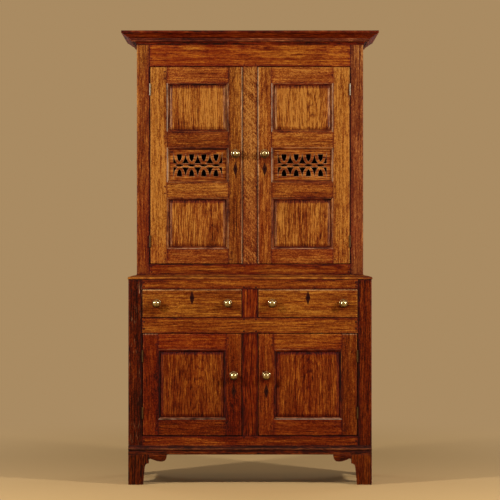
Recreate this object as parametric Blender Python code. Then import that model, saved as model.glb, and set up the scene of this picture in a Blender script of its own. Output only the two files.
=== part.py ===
"""Bread and cheese cupboard: an oak cupboard in two stages, in metres, +Z up.

The lower stage has two doors under two drawers and stands on its side planks and two bracket feet.
The upper stage stands on the waist board, set back from it, and has two doors with a pierced panel each.
X runs across the front from left to right and Y from front to back.
The origin is under the middle of the whole.
"""

import math

import bmesh
import bpy
from mathutils import Matrix, Vector

# Fits
FIT = 0.0003  # gap between two pieces that touch
DOOR_GAP = 0.0025  # round an inset door, except at its hinges
DRAWER_GAP = 0.0018  # round an inset drawer front
GUIDE_PLAY = 0.0005  # between a drawer and its guides
PANEL_PLAY = 0.0008  # between a panel's edge and the bottom of its groove
DOOR_STOP_GAP = 0.001  # behind a closed door
CUT_PAST = 0.001  # how far a cutter runs past the face it opens

# Timber
FRAME_THICK = 0.022
SIDE_THICK = 0.020
BACK_THICK = 0.014
BOARD_THICK = 0.018
TOP_BOARD_THICK = 0.012
HOUSING_DEEP = 0.006
REBATE_DEEP = 0.010

# Whole
TOTAL_HEIGHT = 1.9681

# Lower stage
LOWER_WIDTH = 1.056
LOWER_DEPTH = 0.500
FOOT_HEIGHT = 0.131
BASE_RAIL = 0.081
LOWER_DOOR_OPENING = 0.445
DRAWER_RAIL = 0.068
DRAWER_OPENING = 0.123
LOWER_TOP_RAIL = 0.042
LOWER_STILE = 0.060
LOWER_MUNTIN = 0.070

# Waist board
WAIST_THICK = 0.021
WAIST_OVERHANG = 0.003
WAIST_UNDERCUT = 0.003
WAIST_NOSE_FLAT = 0.003
WAIST_NOSE_HIGH = 0.0125  # from the foot of the board
WAIST_NOSE_DEEP = 0.013
WAIST_STEP = 0.002
WAIST_LEDGE = 0.001  # before the upper stage

# Upper stage
FRONT_SETBACK = 0.035
SIDE_SETBACK = 0.035
UPPER_BASE_RAIL = 0.045
FRIEZE = 0.094
UPPER_STILE = 0.056
UPPER_MUNTIN = 0.062

# Cornice, from the foot of the moulding up
CORNICE_FILLET = 0.003
CORNICE_COVE_REACH = 0.0155
CORNICE_COVE_HEIGHT = 0.0135
CORNICE_BEAD = 0.007  # height and reach of each of two beads
CORNICE_SPLAY_HEIGHT = 0.0205
CORNICE_LIP = 0.0095
CORNICE_REACH = 0.0645

# Base moulding and bracket feet
BASE_HEIGHT = 0.039
BASE_REACH = 0.010
BASE_FLAT_REACH = 0.006
BASE_FLAT_HEIGHT = 0.020
BASE_BEAD_HEIGHT = 0.008
FOOT_THICK = 0.026
FOOT_TOE = 0.064
FOOT_ANKLE = 0.070
ANKLE_DROP = 0.067
FOOT_CUSP = 0.089
CUSP_DROP = 0.038
CUSP_RISE = 0.015
FOOT_PEAK = 0.098
PEAK_DROP = 0.018
FOOT_LOBE = 0.145
LOBE_DROP = 0.030
FOOT_WING = 0.167

# Arch between the feet of a side plank
SIDE_FRONT_FOOT = 0.085
SIDE_REAR_FOOT = 0.100
ARCH_HEIGHT = 0.105
ARCH_ROUND = 0.045

# Doors, with their stiles and rails measured up to the moulded edges
DOOR_THICK = 0.022
UPPER_HINGE_STILE = 0.072
UPPER_LOCK_STILE = 0.0605
UPPER_TOP_RAIL = 0.069
UPPER_MIDDLE_RAIL = 0.0675
UPPER_DOOR_BASE_RAIL = 0.064
FRET_SHARE = 0.259  # of the height that an upper door's three panels share
BOTTOM_PANEL_SHARE = 0.378
LOWER_DOOR_STILE = 0.066
LOWER_DOOR_TOP_RAIL = 0.0675
LOWER_DOOR_BASE_RAIL = 0.069

# Moulded inner edge of a door frame, and the groove behind it
OVOLO_WIDE = 0.010
OVOLO_DEEP = 0.0075
OVOLO_QUIRK = 0.0012
GROOVE_BACK_FROM_OVOLO = 0.001
GROOVE_WIDE = 0.0066
GROOVE_DEEP = 0.008
FIELD_RAISE = 0.004
FIELD_BEVEL = 0.011
FIELD_LEDGE = 0.001

# Pierced panel, with heights from its middle line as shares of the height that shows
FRET_PITCH = 0.053
FRET_BORDER = 0.016
SHIELD_WIDE = 0.022
SHIELD_TOP_SHARE = 0.345
SHIELD_TIP_SHARE = 0.182
DART_WIDE = 0.0265
DART_FOOT_SHARE = 0.0895
DART_APEX_SHARE = 0.326
LENS_LONG = 0.024
LENS_HIGH_SHARE = 0.0455

# Drawers
DRAWER_FRONT_THICK = 0.020
DRAWER_SIDE_THICK = 0.010
DRAWER_BOTTOM_THICK = 0.007
DRAWER_BOTTOM_RAISE = 0.006
DRAWER_TOP_ROOM = 0.010
DRAWER_LONG = 0.420
GUIDE_HIGH = 0.030

# Knobs
KNOB_REACH = 0.040
KNOB_ROSE_RADIUS = 0.0145
KNOB_ROSE_THICK = 0.003
KNOB_NECK_RADIUS = 0.006
UPPER_KNOB_RADIUS = 0.0152
LOWER_KNOB_RADIUS = 0.0172
KNOB_SHANK_RADIUS = 0.004
KNOB_SHANK_LONG = 0.015
UPPER_KNOB_HEIGHT = 0.478  # from the foot of the door
LOWER_KNOB_HEIGHT = 0.258
DRAWER_KNOB_INSET = 0.060  # from the end of the drawer front

# Butt hinges
HINGE_HIGH = 0.050
HINGE_FROM_END = 0.072  # from the end of the door to the near end of the hinge
HINGE_LEAF_THICK = 0.0012
HINGE_LEAF_DEEP = 0.019
HINGE_LEAF_PLAY = 0.0004
HINGE_KNUCKLE_RADIUS = 0.0033
HINGE_PIN_RADIUS = 0.0013
HINGE_PIN_PLAY = 0.0003

# Facets
TURNED_SIDES = 16
HINGE_SIDES = 12
CURVE_STEPS = 4
SMOOTH_ANGLE = math.radians(40)

# Places that follow from the sizes
LOWER_HALF = LOWER_WIDTH / 2
UPPER_HALF = LOWER_HALF - SIDE_SETBACK
LOWER_FRONT = (KNOB_REACH - LOWER_DEPTH) / 2
UPPER_FRONT = LOWER_FRONT + FRONT_SETBACK
BACK = LOWER_FRONT + LOWER_DEPTH

LOWER_DOOR_FOOT = FOOT_HEIGHT + BASE_RAIL
DRAWER_RAIL_FOOT = LOWER_DOOR_FOOT + LOWER_DOOR_OPENING
DRAWER_FOOT = DRAWER_RAIL_FOOT + DRAWER_RAIL
DRAWER_HEAD = DRAWER_FOOT + DRAWER_OPENING
LOWER_TOP = DRAWER_HEAD + LOWER_TOP_RAIL

WAIST_FOOT = LOWER_TOP + FIT
WAIST_TOP = WAIST_FOOT + WAIST_THICK
UPPER_FOOT = WAIST_TOP + FIT
UPPER_DOOR_FOOT = UPPER_FOOT + UPPER_BASE_RAIL

CORNICE_TOP = TOTAL_HEIGHT
CORNICE_LIP_FOOT = CORNICE_TOP - CORNICE_LIP
CORNICE_BEAD_TOP = CORNICE_LIP_FOOT - CORNICE_SPLAY_HEIGHT
CORNICE_BEAD_FOOT = CORNICE_BEAD_TOP - 2 * CORNICE_BEAD
CORNICE_FOOT = CORNICE_BEAD_FOOT - CORNICE_COVE_HEIGHT
UPPER_DOOR_HEAD = CORNICE_FOOT - FRIEZE
UPPER_CASE_TOP = CORNICE_TOP - TOP_BOARD_THICK - FIT

UPPER_DOOR_HIGH = UPPER_DOOR_HEAD - UPPER_DOOR_FOOT - 2 * DOOR_GAP
UPPER_RAILS = UPPER_TOP_RAIL + 2 * UPPER_MIDDLE_RAIL + UPPER_DOOR_BASE_RAIL
FRET_OPENING = FRET_SHARE * (UPPER_DOOR_HIGH - UPPER_RAILS)
BOTTOM_PANEL_OPENING = BOTTOM_PANEL_SHARE * (UPPER_DOOR_HIGH - UPPER_RAILS)
FRET_SIGHT = FRET_OPENING - 2 * OVOLO_WIDE
SHIELD_TOP = SHIELD_TOP_SHARE * FRET_SIGHT
SHIELD_TIP = SHIELD_TIP_SHARE * FRET_SIGHT
DART_FOOT = DART_FOOT_SHARE * FRET_SIGHT
DART_APEX = DART_APEX_SHARE * FRET_SIGHT
LENS_HIGH = LENS_HIGH_SHARE * FRET_SIGHT

HINGE_GAP = 2 * (HINGE_LEAF_THICK + FIT) + HINGE_LEAF_PLAY
GROOVE_FRONT = OVOLO_DEEP + GROOVE_BACK_FROM_OVOLO
TONGUE_THICK = GROOVE_WIDE - 2 * FIT

# Colours and finishes
HONEY_OAK = ("honey_oak", (0.36, 0.13, 0.025), 0.38, 0.0)
RED_OAK = ("red_oak", (0.24, 0.062, 0.014), 0.36, 0.0)
DARK_OAK = ("dark_oak", (0.11, 0.022, 0.008), 0.34, 0.0)
INSIDE_OAK = ("inside_oak", (0.22, 0.12, 0.05), 0.7, 0.0)
BRASS = ("brass", (0.72, 0.48, 0.16), 0.25, 1.0)
SIDES = {"left": -1, "right": 1}


def clear_scene():
    for old in list(bpy.data.objects):
        bpy.data.objects.remove(old, do_unlink=True)


def finish_material(finish):
    """The material of a finish, made the first time that it is asked for."""
    name, colour, roughness, metallic = finish
    material = bpy.data.materials.get(name)
    if material is None:
        material = bpy.data.materials.new(name)
        material.use_nodes = True
        shader = material.node_tree.nodes["Principled BSDF"]
        shader.inputs["Base Color"].default_value = (*colour, 1.0)
        shader.inputs["Roughness"].default_value = roughness
        shader.inputs["Metallic"].default_value = metallic
    return material


def add_object(name, shape, finish=None, pivot=None):
    """An object from a bmesh drawn in place, with its origin on its pivot or else at its own middle."""
    bmesh.ops.recalc_face_normals(shape, faces=shape.faces)
    mesh = bpy.data.meshes.new(name)
    shape.to_mesh(mesh)
    shape.free()
    piece = bpy.data.objects.new(name, mesh)
    bpy.context.scene.collection.objects.link(piece)
    if finish is not None:
        mesh.materials.append(finish_material(finish))
    if pivot is None:
        corners = [Vector(corner) for corner in piece.bound_box]
        piece.location = (corners[0] + corners[6]) / 2
        mesh.transform(Matrix.Translation(-piece.location))
    else:
        mesh.transform(Matrix.Translation(-pivot.location))
        piece.parent = pivot
    return piece


def add_pivot(name, place):
    """An empty on a joint's axis, which carries the pieces that move about it."""
    pivot = bpy.data.objects.new(name, None)
    pivot.location = place
    bpy.context.scene.collection.objects.link(pivot)
    return pivot


def combine(piece, tool, operation):
    """Cuts a tool out of a piece, or joins it on. The tool stays as a hidden guide."""
    tool.hide_render = True
    tool.display_type = "WIRE"
    change = piece.modifiers.new(tool.name, "BOOLEAN")
    change.operation = operation
    change.solver = "EXACT"
    change.object = tool


def smooth(piece):
    piece.data.shade_smooth()
    piece.data.set_sharp_from_angle(angle=SMOOTH_ANGLE)


def grid_shape(xs, ys, zs, is_wood):
    """A squared solid on a grid of planes: cell i, j, k is solid where is_wood(i, j, k) is true."""
    shape = bmesh.new()
    corners = {}
    sizes = (len(xs) - 1, len(ys) - 1, len(zs) - 1)

    def corner(place):
        if place not in corners:
            i, j, k = place
            corners[place] = shape.verts.new((xs[i], ys[j], zs[k]))
        return corners[place]

    def solid(cell):
        return all(0 <= cell[n] < sizes[n] for n in range(3)) and is_wood(*cell)

    cells = [(i, j, k) for i in range(sizes[0]) for j in range(sizes[1]) for k in range(sizes[2])]
    for cell in filter(solid, cells):
        for axis in range(3):
            across, up = [n for n in range(3) if n != axis]
            for end in (0, 1):
                beyond = list(cell)
                beyond[axis] += 2 * end - 1
                if solid(beyond):
                    continue
                loop = []
                for a, b in ((0, 0), (1, 0), (1, 1), (0, 1)):
                    place = list(cell)
                    place[axis] += end
                    place[across] += a
                    place[up] += b
                    loop.append(corner(tuple(place)))
                shape.faces.new(loop)
    return shape


def box_shape(low, high):
    return grid_shape(*zip(low, high), lambda i, j, k: True)


def in_space(axis, along, across):
    """The point with one coordinate along an axis, and the other two in their own order."""
    point = list(across)
    point.insert("XYZ".index(axis), along)
    return point


def rectangle_stack(axis, sections):
    """A solid through rectangles square to an axis. A section is its place, low corner and high corner."""
    shape = bmesh.new()
    rings = []
    for place, low, high in sections:
        loop = (low, (high[0], low[1]), high, (low[0], high[1]))
        rings.append([shape.verts.new(in_space(axis, place, corner)) for corner in loop])
    shape.faces.new(rings[0])
    shape.faces.new(rings[-1])
    for ring, following in zip(rings, rings[1:]):
        for n in range(4):
            m = (n + 1) % 4
            shape.faces.new((ring[n], ring[m], following[m], following[n]))
    return shape


def extruded(axis, outlines, low, high):
    """Flat outlines drawn out along an axis, each into a body of its own."""
    shape = bmesh.new()
    for outline in outlines:
        face = shape.faces.new([shape.verts.new(in_space(axis, low, point)) for point in outline])
        drawn = bmesh.ops.extrude_face_region(shape, geom=[face], use_keep_orig=True)
        moved = [item for item in drawn["geom"] if isinstance(item, bmesh.types.BMVert)]
        bmesh.ops.translate(shape, verts=moved, vec=in_space(axis, high - low, (0, 0)))
    return shape


def turned(axis, centre, profile, sides, ring=False):
    """A profile of (radius, place along the axis) turned about an axis, or a ring where its ends join."""
    shape = bmesh.new()
    rows = []
    for radius, along in profile:
        if radius == 0:
            rows.append([shape.verts.new(in_space(axis, along, centre))])
            continue
        row = []
        for n in range(sides):
            angle = math.tau * n / sides
            spot = (centre[0] + radius * math.cos(angle), centre[1] + radius * math.sin(angle))
            row.append(shape.verts.new(in_space(axis, along, spot)))
        rows.append(row)
    if ring:
        rows.append(rows[0])
    for row, following in zip(rows, rows[1:]):
        for n in range(sides):
            m = (n + 1) % sides
            near = (row[n % len(row)], row[m % len(row)])
            far = (following[m % len(following)], following[n % len(following)])
            shape.faces.new(list(dict.fromkeys(near + far)))
    return shape


def curve(start, pull, end, steps=CURVE_STEPS):
    """Points of a smooth curve from start to end, drawn towards a pull point, without its first point."""
    points = []
    for n in range(1, steps + 1):
        t = n / steps
        weights = ((1 - t) ** 2, 2 * t * (1 - t), t**2)
        coordinates = zip(start, pull, end)
        points.append(tuple(sum(w * c for w, c in zip(weights, three)) for three in coordinates))
    return points


def make_cornice():
    """A moulding mitred round the front and both ends of the upper stage."""
    profile = [(FIT, CORNICE_FOOT), (CORNICE_FILLET, CORNICE_FOOT)]
    cove_head = (CORNICE_COVE_REACH, CORNICE_BEAD_FOOT)
    profile += curve(profile[-1], (CORNICE_FILLET, CORNICE_BEAD_FOOT), cove_head)
    for _ in range(2):
        reach, height = profile[-1]
        head = (reach + CORNICE_BEAD, height + CORNICE_BEAD)
        profile += curve(profile[-1], (head[0], height), head)
    profile += [(CORNICE_REACH, CORNICE_LIP_FOOT), (CORNICE_REACH, CORNICE_TOP), (FIT, CORNICE_TOP)]
    shape = bmesh.new()
    rows = []
    for across, is_corner in ((-1, False), (-1, True), (1, True), (1, False)):
        row = []
        for reach, height in profile:
            depth = UPPER_FRONT - reach if is_corner else BACK
            row.append(shape.verts.new((across * (UPPER_HALF + reach), depth, height)))
        rows.append(row)
    for row, following in zip(rows, rows[1:]):
        for n in range(len(profile)):
            m = (n + 1) % len(profile)
            shape.faces.new((row[n], row[m], following[m], following[n]))
    shape.faces.new(rows[0])
    shape.faces.new(rows[-1])
    add_object("cornice", shape, DARK_OAK)


def make_upper_face_frame():
    xs = (-UPPER_HALF, UPPER_STILE - UPPER_HALF, -UPPER_MUNTIN / 2)
    xs += tuple(-x for x in reversed(xs))
    zs = (UPPER_FOOT, UPPER_DOOR_FOOT, UPPER_DOOR_HEAD, UPPER_CASE_TOP)
    ys = (UPPER_FRONT, UPPER_FRONT + FRAME_THICK)
    shape = grid_shape(xs, ys, zs, lambda i, j, k: not (i in (1, 3) and k == 1))
    add_object("upper_face_frame", shape, RED_OAK)


def make_lower_face_frame():
    xs = (-LOWER_HALF, LOWER_STILE - LOWER_HALF, -LOWER_MUNTIN / 2)
    xs += tuple(-x for x in reversed(xs))
    zs = (FOOT_HEIGHT, LOWER_DOOR_FOOT, DRAWER_RAIL_FOOT, DRAWER_FOOT, DRAWER_HEAD, LOWER_TOP)
    ys = (LOWER_FRONT, LOWER_FRONT + FRAME_THICK)
    shape = grid_shape(xs, ys, zs, lambda i, j, k: not (i in (1, 3) and k in (1, 3)))
    add_object("lower_face_frame", shape, RED_OAK)


def side_shape(hand, half_width, front, foot, top, boards):
    """A side plank with a housing for each board, given by its foot, and a rebate for the back."""
    depths = (SIDE_THICK, REBATE_DEEP, HOUSING_DEEP, 0)
    xs = sorted(hand * (half_width - SIDE_THICK + depth) for depth in depths)
    ys = (front + FRAME_THICK + FIT, BACK - BACK_THICK - FIT, BACK)
    housings = [(low - FIT, low + BOARD_THICK + FIT) for low in boards]
    zs = (foot, *(level for housing in housings for level in housing), top)

    def is_wood(i, j, k):
        inward = 2 - i if hand > 0 else i
        if j == 1:
            return inward == 0
        in_housing = k % 2 == 1
        return not (in_housing and inward == 2)

    return grid_shape(xs, ys, zs, is_wood)


def arch_outline():
    """The opening between the feet of a lower side plank, in Y and Z."""
    front = LOWER_FRONT + FRAME_THICK + FIT + SIDE_FRONT_FOOT
    rear = BACK - SIDE_REAR_FOOT
    spring = ARCH_HEIGHT - ARCH_ROUND
    outline = [(front, -CUT_PAST), (front, spring)]
    outline += curve(outline[-1], (front, ARCH_HEIGHT), (front + ARCH_ROUND, ARCH_HEIGHT))
    outline += [(rear - ARCH_ROUND, ARCH_HEIGHT)]
    outline += curve(outline[-1], (rear, ARCH_HEIGHT), (rear, spring))
    outline += [(rear, -CUT_PAST)]
    return outline


def level_board(name, half_width, front, low, finish):
    """A board housed in both side planks, with its front edge behind the face frame or the doors."""
    reach = half_width - SIDE_THICK + HOUSING_DEEP - FIT
    corner = (-reach, front, low)
    shape = box_shape(corner, (reach, BACK - BACK_THICK - FIT, low + BOARD_THICK))
    add_object(name, shape, finish)


def back_boards(name, half_width, foot, top):
    reach = half_width - SIDE_THICK + REBATE_DEEP - FIT
    shape = box_shape((-reach, BACK - BACK_THICK, foot), (reach, BACK, top))
    add_object(name, shape, INSIDE_OAK)


def shelf_foot(rail_foot):
    """The underside of a shelf behind the middle of an upper door's middle rail."""
    return rail_foot + (UPPER_MIDDLE_RAIL - BOARD_THICK) / 2


def make_upper_case():
    floor_foot = UPPER_DOOR_FOOT - BOARD_THICK
    low_rail_foot = UPPER_DOOR_FOOT + DOOR_GAP + UPPER_DOOR_BASE_RAIL + BOTTOM_PANEL_OPENING
    high_rail_foot = low_rail_foot + UPPER_MIDDLE_RAIL + FRET_OPENING
    low_shelf_foot = shelf_foot(low_rail_foot)
    high_shelf_foot = shelf_foot(high_rail_foot)
    boards = (floor_foot, low_shelf_foot, high_shelf_foot)
    for side, hand in SIDES.items():
        shape = side_shape(hand, UPPER_HALF, UPPER_FRONT, UPPER_FOOT, UPPER_CASE_TOP, boards)
        add_object(f"upper_{side}_side", shape, RED_OAK)
    behind_frame = UPPER_FRONT + FRAME_THICK + FIT
    behind_doors = UPPER_FRONT + max(FRAME_THICK, DOOR_THICK) + DOOR_STOP_GAP
    level_board("upper_floor", UPPER_HALF, behind_frame, floor_foot, INSIDE_OAK)
    level_board("upper_shelf_low", UPPER_HALF, behind_doors, low_shelf_foot, INSIDE_OAK)
    level_board("upper_shelf_high", UPPER_HALF, behind_doors, high_shelf_foot, INSIDE_OAK)
    back_boards("upper_back", UPPER_HALF, UPPER_FOOT, UPPER_CASE_TOP)
    low = (-UPPER_HALF, UPPER_FRONT, UPPER_CASE_TOP + FIT)
    add_object("upper_top_board", box_shape(low, (UPPER_HALF, BACK, CORNICE_TOP)), RED_OAK)


def make_lower_case():
    floor_foot = LOWER_DOOR_FOOT - BOARD_THICK
    bed_foot = DRAWER_FOOT - BOARD_THICK
    arch = add_object("arch_cutter", extruded("X", [arch_outline()], -LOWER_WIDTH, LOWER_WIDTH))
    for side, hand in SIDES.items():
        shape = side_shape(hand, LOWER_HALF, LOWER_FRONT, 0, LOWER_TOP, (floor_foot, bed_foot))
        plank = add_object(f"lower_{side}_side", shape, DARK_OAK)
        combine(plank, arch, "DIFFERENCE")
    behind_frame = LOWER_FRONT + FRAME_THICK + FIT
    level_board("lower_floor", LOWER_HALF, behind_frame, floor_foot, INSIDE_OAK)
    back_boards("lower_back", LOWER_HALF, FOOT_HEIGHT, LOWER_TOP)
    make_drawer_bed(behind_frame, bed_foot)
    make_waist_board()
    make_base()


def make_drawer_bed(front, foot):
    """The board that the drawers run on, with a guide along each side of each drawer."""
    housed = LOWER_HALF - SIDE_THICK + HOUSING_DEEP - FIT
    inside = LOWER_HALF - SIDE_THICK - FIT
    outer_guide = LOWER_HALF - LOWER_STILE - DRAWER_GAP + GUIDE_PLAY
    middle_guide = LOWER_MUNTIN / 2 + DRAWER_GAP - GUIDE_PLAY
    xs = (-housed, -inside, -outer_guide, -middle_guide)
    xs += tuple(-x for x in reversed(xs))
    ys = (front, BACK - BACK_THICK - FIT)
    zs = (foot, DRAWER_FOOT, DRAWER_FOOT + GUIDE_HIGH)
    guide_columns = (1, 3, 5)
    shape = grid_shape(xs, ys, zs, lambda i, j, k: k == 0 or i in guide_columns)
    add_object("drawer_bed", shape, INSIDE_OAK)


def make_waist_board():
    """The top of the lower stage, moulded along its front and ends: a nose, a step and a cove."""
    nose_foot = WAIST_FOOT + WAIST_UNDERCUT
    nose_head = WAIST_FOOT + WAIST_NOSE_HIGH
    step_head = nose_head + WAIST_STEP
    step = WAIST_OVERHANG - WAIST_NOSE_DEEP
    edge = [(WAIST_OVERHANG - WAIST_UNDERCUT, WAIST_FOOT), (WAIST_OVERHANG, nose_foot)]
    edge += [(WAIST_OVERHANG, nose_foot + WAIST_NOSE_FLAT)]
    edge += curve(edge[-1], (WAIST_OVERHANG, nose_head), (step, nose_head))
    edge += [(step, step_head)]

    def cove(setback):
        """From the step up to a narrow ledge before the upper stage."""
        ledge = WAIST_LEDGE - setback
        return curve((step, step_head), (ledge, step_head), (ledge, WAIST_TOP))

    sections = []
    for end, front in zip(edge + cove(SIDE_SETBACK), edge + cove(FRONT_SETBACK)):
        half = LOWER_HALF + end[0]
        sections.append((end[1], (-half, LOWER_FRONT - front[0]), (half, BACK)))
    add_object("waist_board", rectangle_stack("Z", sections), RED_OAK)


def make_base():
    """The moulding along the foot of the front, and a bracket foot at each of its ends."""
    flat = LOWER_FRONT - BASE_FLAT_REACH
    nose = LOWER_FRONT - BASE_REACH
    back = LOWER_FRONT - FIT
    flat_top = FOOT_HEIGHT + BASE_FLAT_HEIGHT
    bead_top = flat_top + BASE_BEAD_HEIGHT
    top = FOOT_HEIGHT + BASE_HEIGHT
    outline = [(back, FOOT_HEIGHT), (flat, FOOT_HEIGHT), (flat, flat_top)]
    outline += curve(outline[-1], (nose, flat_top), (nose, (flat_top + bead_top) / 2))
    outline += curve(outline[-1], (nose, bead_top), (flat, bead_top))
    outline += curve(outline[-1], (back, bead_top), (back, top))
    shape = extruded("X", [outline], -LOWER_HALF, LOWER_HALF)
    add_object("base_moulding", shape, DARK_OAK)
    for side, hand in SIDES.items():
        bracket = [(hand * (LOWER_HALF - reach), height) for reach, height in foot_outline()]
        shape = extruded("Y", [bracket], flat, flat + FOOT_THICK)
        add_object(f"front_{side}_foot", shape, DARK_OAK)


def foot_outline():
    """A bracket foot from its outer edge in, and up from the floor."""
    top = FOOT_HEIGHT - FIT
    ankle = (FOOT_ANKLE, top - ANKLE_DROP)
    cusp = (FOOT_CUSP, top - CUSP_DROP)
    cusp_head = (FOOT_CUSP, cusp[1] + CUSP_RISE)
    peak = (FOOT_PEAK, top - PEAK_DROP)
    lobe = (FOOT_LOBE, top - LOBE_DROP)
    outline = [(0, 0), (FOOT_TOE, 0), ankle]
    outline += curve(ankle, (FOOT_ANKLE, cusp[1]), cusp)
    outline += [cusp_head]
    outline += curve(cusp_head, (FOOT_CUSP, peak[1]), peak)
    outline += curve(peak, ((FOOT_PEAK + FOOT_LOBE) / 2, lobe[1]), lobe)
    outline += curve(lobe, (FOOT_WING, lobe[1]), (FOOT_WING, top))
    outline += [(0, top)]
    return outline


def spread(low, high, reach):
    """A rectangle's corners moved out by a reach on every side."""
    return (low[0] - reach, low[1] - reach), (high[0] + reach, high[1] + reach)


def sight_opening(low, high):
    """What is seen of an opening between stiles and rails, inside its moulded edges."""
    return spread(low, high, -OVOLO_WIDE)


def moulded_opening(front, low, high):
    """What is cut from a door frame at one panel: the ovolo, the sight opening and the groove."""
    sections = [(front - CUT_PAST, OVOLO_WIDE), (front + OVOLO_QUIRK, OVOLO_WIDE)]
    for n in range(1, CURVE_STEPS + 1):
        turn = math.pi / 2 * (1 - n / CURVE_STEPS)
        depth = OVOLO_DEEP - (OVOLO_DEEP - OVOLO_QUIRK) * math.sin(turn)
        sections.append((front + depth, OVOLO_WIDE * (1 - math.cos(turn))))
    groove = front + GROOVE_FRONT
    sections += [(groove, 0), (groove, GROOVE_DEEP)]
    sections += [(groove + GROOVE_WIDE, GROOVE_DEEP), (groove + GROOVE_WIDE, 0)]
    sections += [(front + DOOR_THICK + CUT_PAST, 0)]
    return rectangle_stack("Y", [(place, *spread(low, high, reach)) for place, reach in sections])


def fielded_panel(name, front, low, high, finish, pivot):
    """A panel whose tongue runs in the groove, with a bevelled field standing forward of it."""
    tongue = front + GROOVE_FRONT + FIT
    edge = GROOVE_DEEP - PANEL_PLAY
    sections = [(tongue - FIELD_RAISE, -FIELD_LEDGE - FIELD_BEVEL), (tongue, -FIELD_LEDGE)]
    sections += [(tongue, edge), (tongue + TONGUE_THICK, edge)]
    shape = rectangle_stack("Y", [(place, *spread(low, high, reach)) for place, reach in sections])
    add_object(name, shape, finish, pivot)


def fret_piercings(middle_x, middle_z, sight_width):
    """The outlines of the holes: shields in columns, darts between them and lenses on the middle line."""
    columns = math.floor((sight_width - 2 * FRET_BORDER) / FRET_PITCH)
    end = columns * FRET_PITCH / 2
    holes = []
    for column in range(columns):
        x = middle_x - end + (column + 0.5) * FRET_PITCH
        for up in (-1, 1):
            holes.append([(x + across, middle_z + up * height) for across, height in shield_outline()])
        holes.append([(x + across, middle_z + height) for across, height in lens_outline()])
    for column in range(columns + 1):
        x = middle_x - end + column * FRET_PITCH
        is_first = column == 0
        is_last = column == columns
        for up in (-1, 1):
            dart = dart_outline(not is_first, not is_last)
            holes.append([(x + across, middle_z + up * height) for across, height in dart])
    return holes


def shield_outline():
    half = SHIELD_WIDE / 2
    tip = (0, SHIELD_TIP)
    pull_height = SHIELD_TIP + (SHIELD_TOP - SHIELD_TIP) / 4
    outline = [(half, SHIELD_TOP), (-half, SHIELD_TOP)]
    outline += curve(outline[-1], (-half, pull_height), tip)
    outline += curve(tip, (half, pull_height), (half, SHIELD_TOP))[:-1]
    return outline


def dart_outline(has_left, has_right):
    """An upward dart with hollow sides, or half of one at an end of the row."""
    half = DART_WIDE / 2
    apex = (0, DART_APEX)
    pull = DART_FOOT + (DART_APEX - DART_FOOT) / 4
    left = [(-half, DART_FOOT)] if has_left else [(0, DART_FOOT)]
    right = [(half, DART_FOOT)] if has_right else [(0, DART_FOOT)]
    outline = left + right
    if has_right:
        outline += curve(right[0], (half / 3, pull), apex)
    else:
        outline += [apex]
    if has_left:
        outline += curve(apex, (-half / 3, pull), left[0])[:-1]
    return outline


def lens_outline():
    half = LENS_LONG / 2
    outline = [(-half, 0)]
    outline += curve(outline[0], (0, -LENS_HIGH), (half, 0))
    outline += curve(outline[-1], (0, LENS_HIGH), outline[0])[:-1]
    return outline


def fret_panel(name, front, low, high, finish, pivot):
    """A flat panel in the groove, pierced with the traditional pattern."""
    tongue = front + GROOVE_FRONT + FIT
    edge_low, edge_high = spread(low, high, GROOVE_DEEP - PANEL_PLAY)
    sections = [(tongue, edge_low, edge_high), (tongue + TONGUE_THICK, edge_low, edge_high)]
    panel = add_object(name, rectangle_stack("Y", sections), finish, pivot)
    middle_x = (low[0] + high[0]) / 2
    middle_z = (low[1] + high[1]) / 2
    holes = fret_piercings(middle_x, middle_z, high[0] - low[0])
    cutter = extruded("Y", holes, tongue - CUT_PAST, tongue + TONGUE_THICK + CUT_PAST)
    combine(panel, add_object(f"{name}_cutter", cutter), "DIFFERENCE")


def knob(name, x, front, z, ball, pivot):
    """A turned ball on a neck and a rose, with a shank that goes into the wood behind. ball is its radius."""
    face = front - FIT
    rose = face - KNOB_ROSE_THICK
    ball_middle = front - KNOB_REACH + ball
    profile = [(0, front + KNOB_SHANK_LONG), (KNOB_SHANK_RADIUS, front + KNOB_SHANK_LONG)]
    profile += [(KNOB_SHANK_RADIUS, face), (KNOB_ROSE_RADIUS, face)]
    profile += [(KNOB_ROSE_RADIUS, rose + KNOB_ROSE_THICK / 2), (KNOB_ROSE_RADIUS - KNOB_ROSE_THICK, rose)]
    profile += [(KNOB_NECK_RADIUS, rose)]
    start = math.pi - math.asin(KNOB_NECK_RADIUS / ball)
    steps = 2 * CURVE_STEPS
    for n in range(steps):
        turn = start * (1 - n / steps)
        profile.append((ball * math.sin(turn), ball_middle - ball * math.cos(turn)))
    profile.append((0, front - KNOB_REACH))
    piece = add_object(name, turned("Y", (x, z), profile, TURNED_SIDES), BRASS, pivot)
    smooth(piece)


def drill_for_knob(piece, x, front, z, thick):
    radius = KNOB_SHANK_RADIUS + FIT
    ends = (front - CUT_PAST, front + thick + CUT_PAST)
    profile = [(0, ends[0]), (radius, ends[0]), (radius, ends[1]), (0, ends[1])]
    cutter = add_object(f"{piece.name}_drill", turned("Y", (x, z), profile, TURNED_SIDES))
    combine(piece, cutter, "DIFFERENCE")


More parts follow.
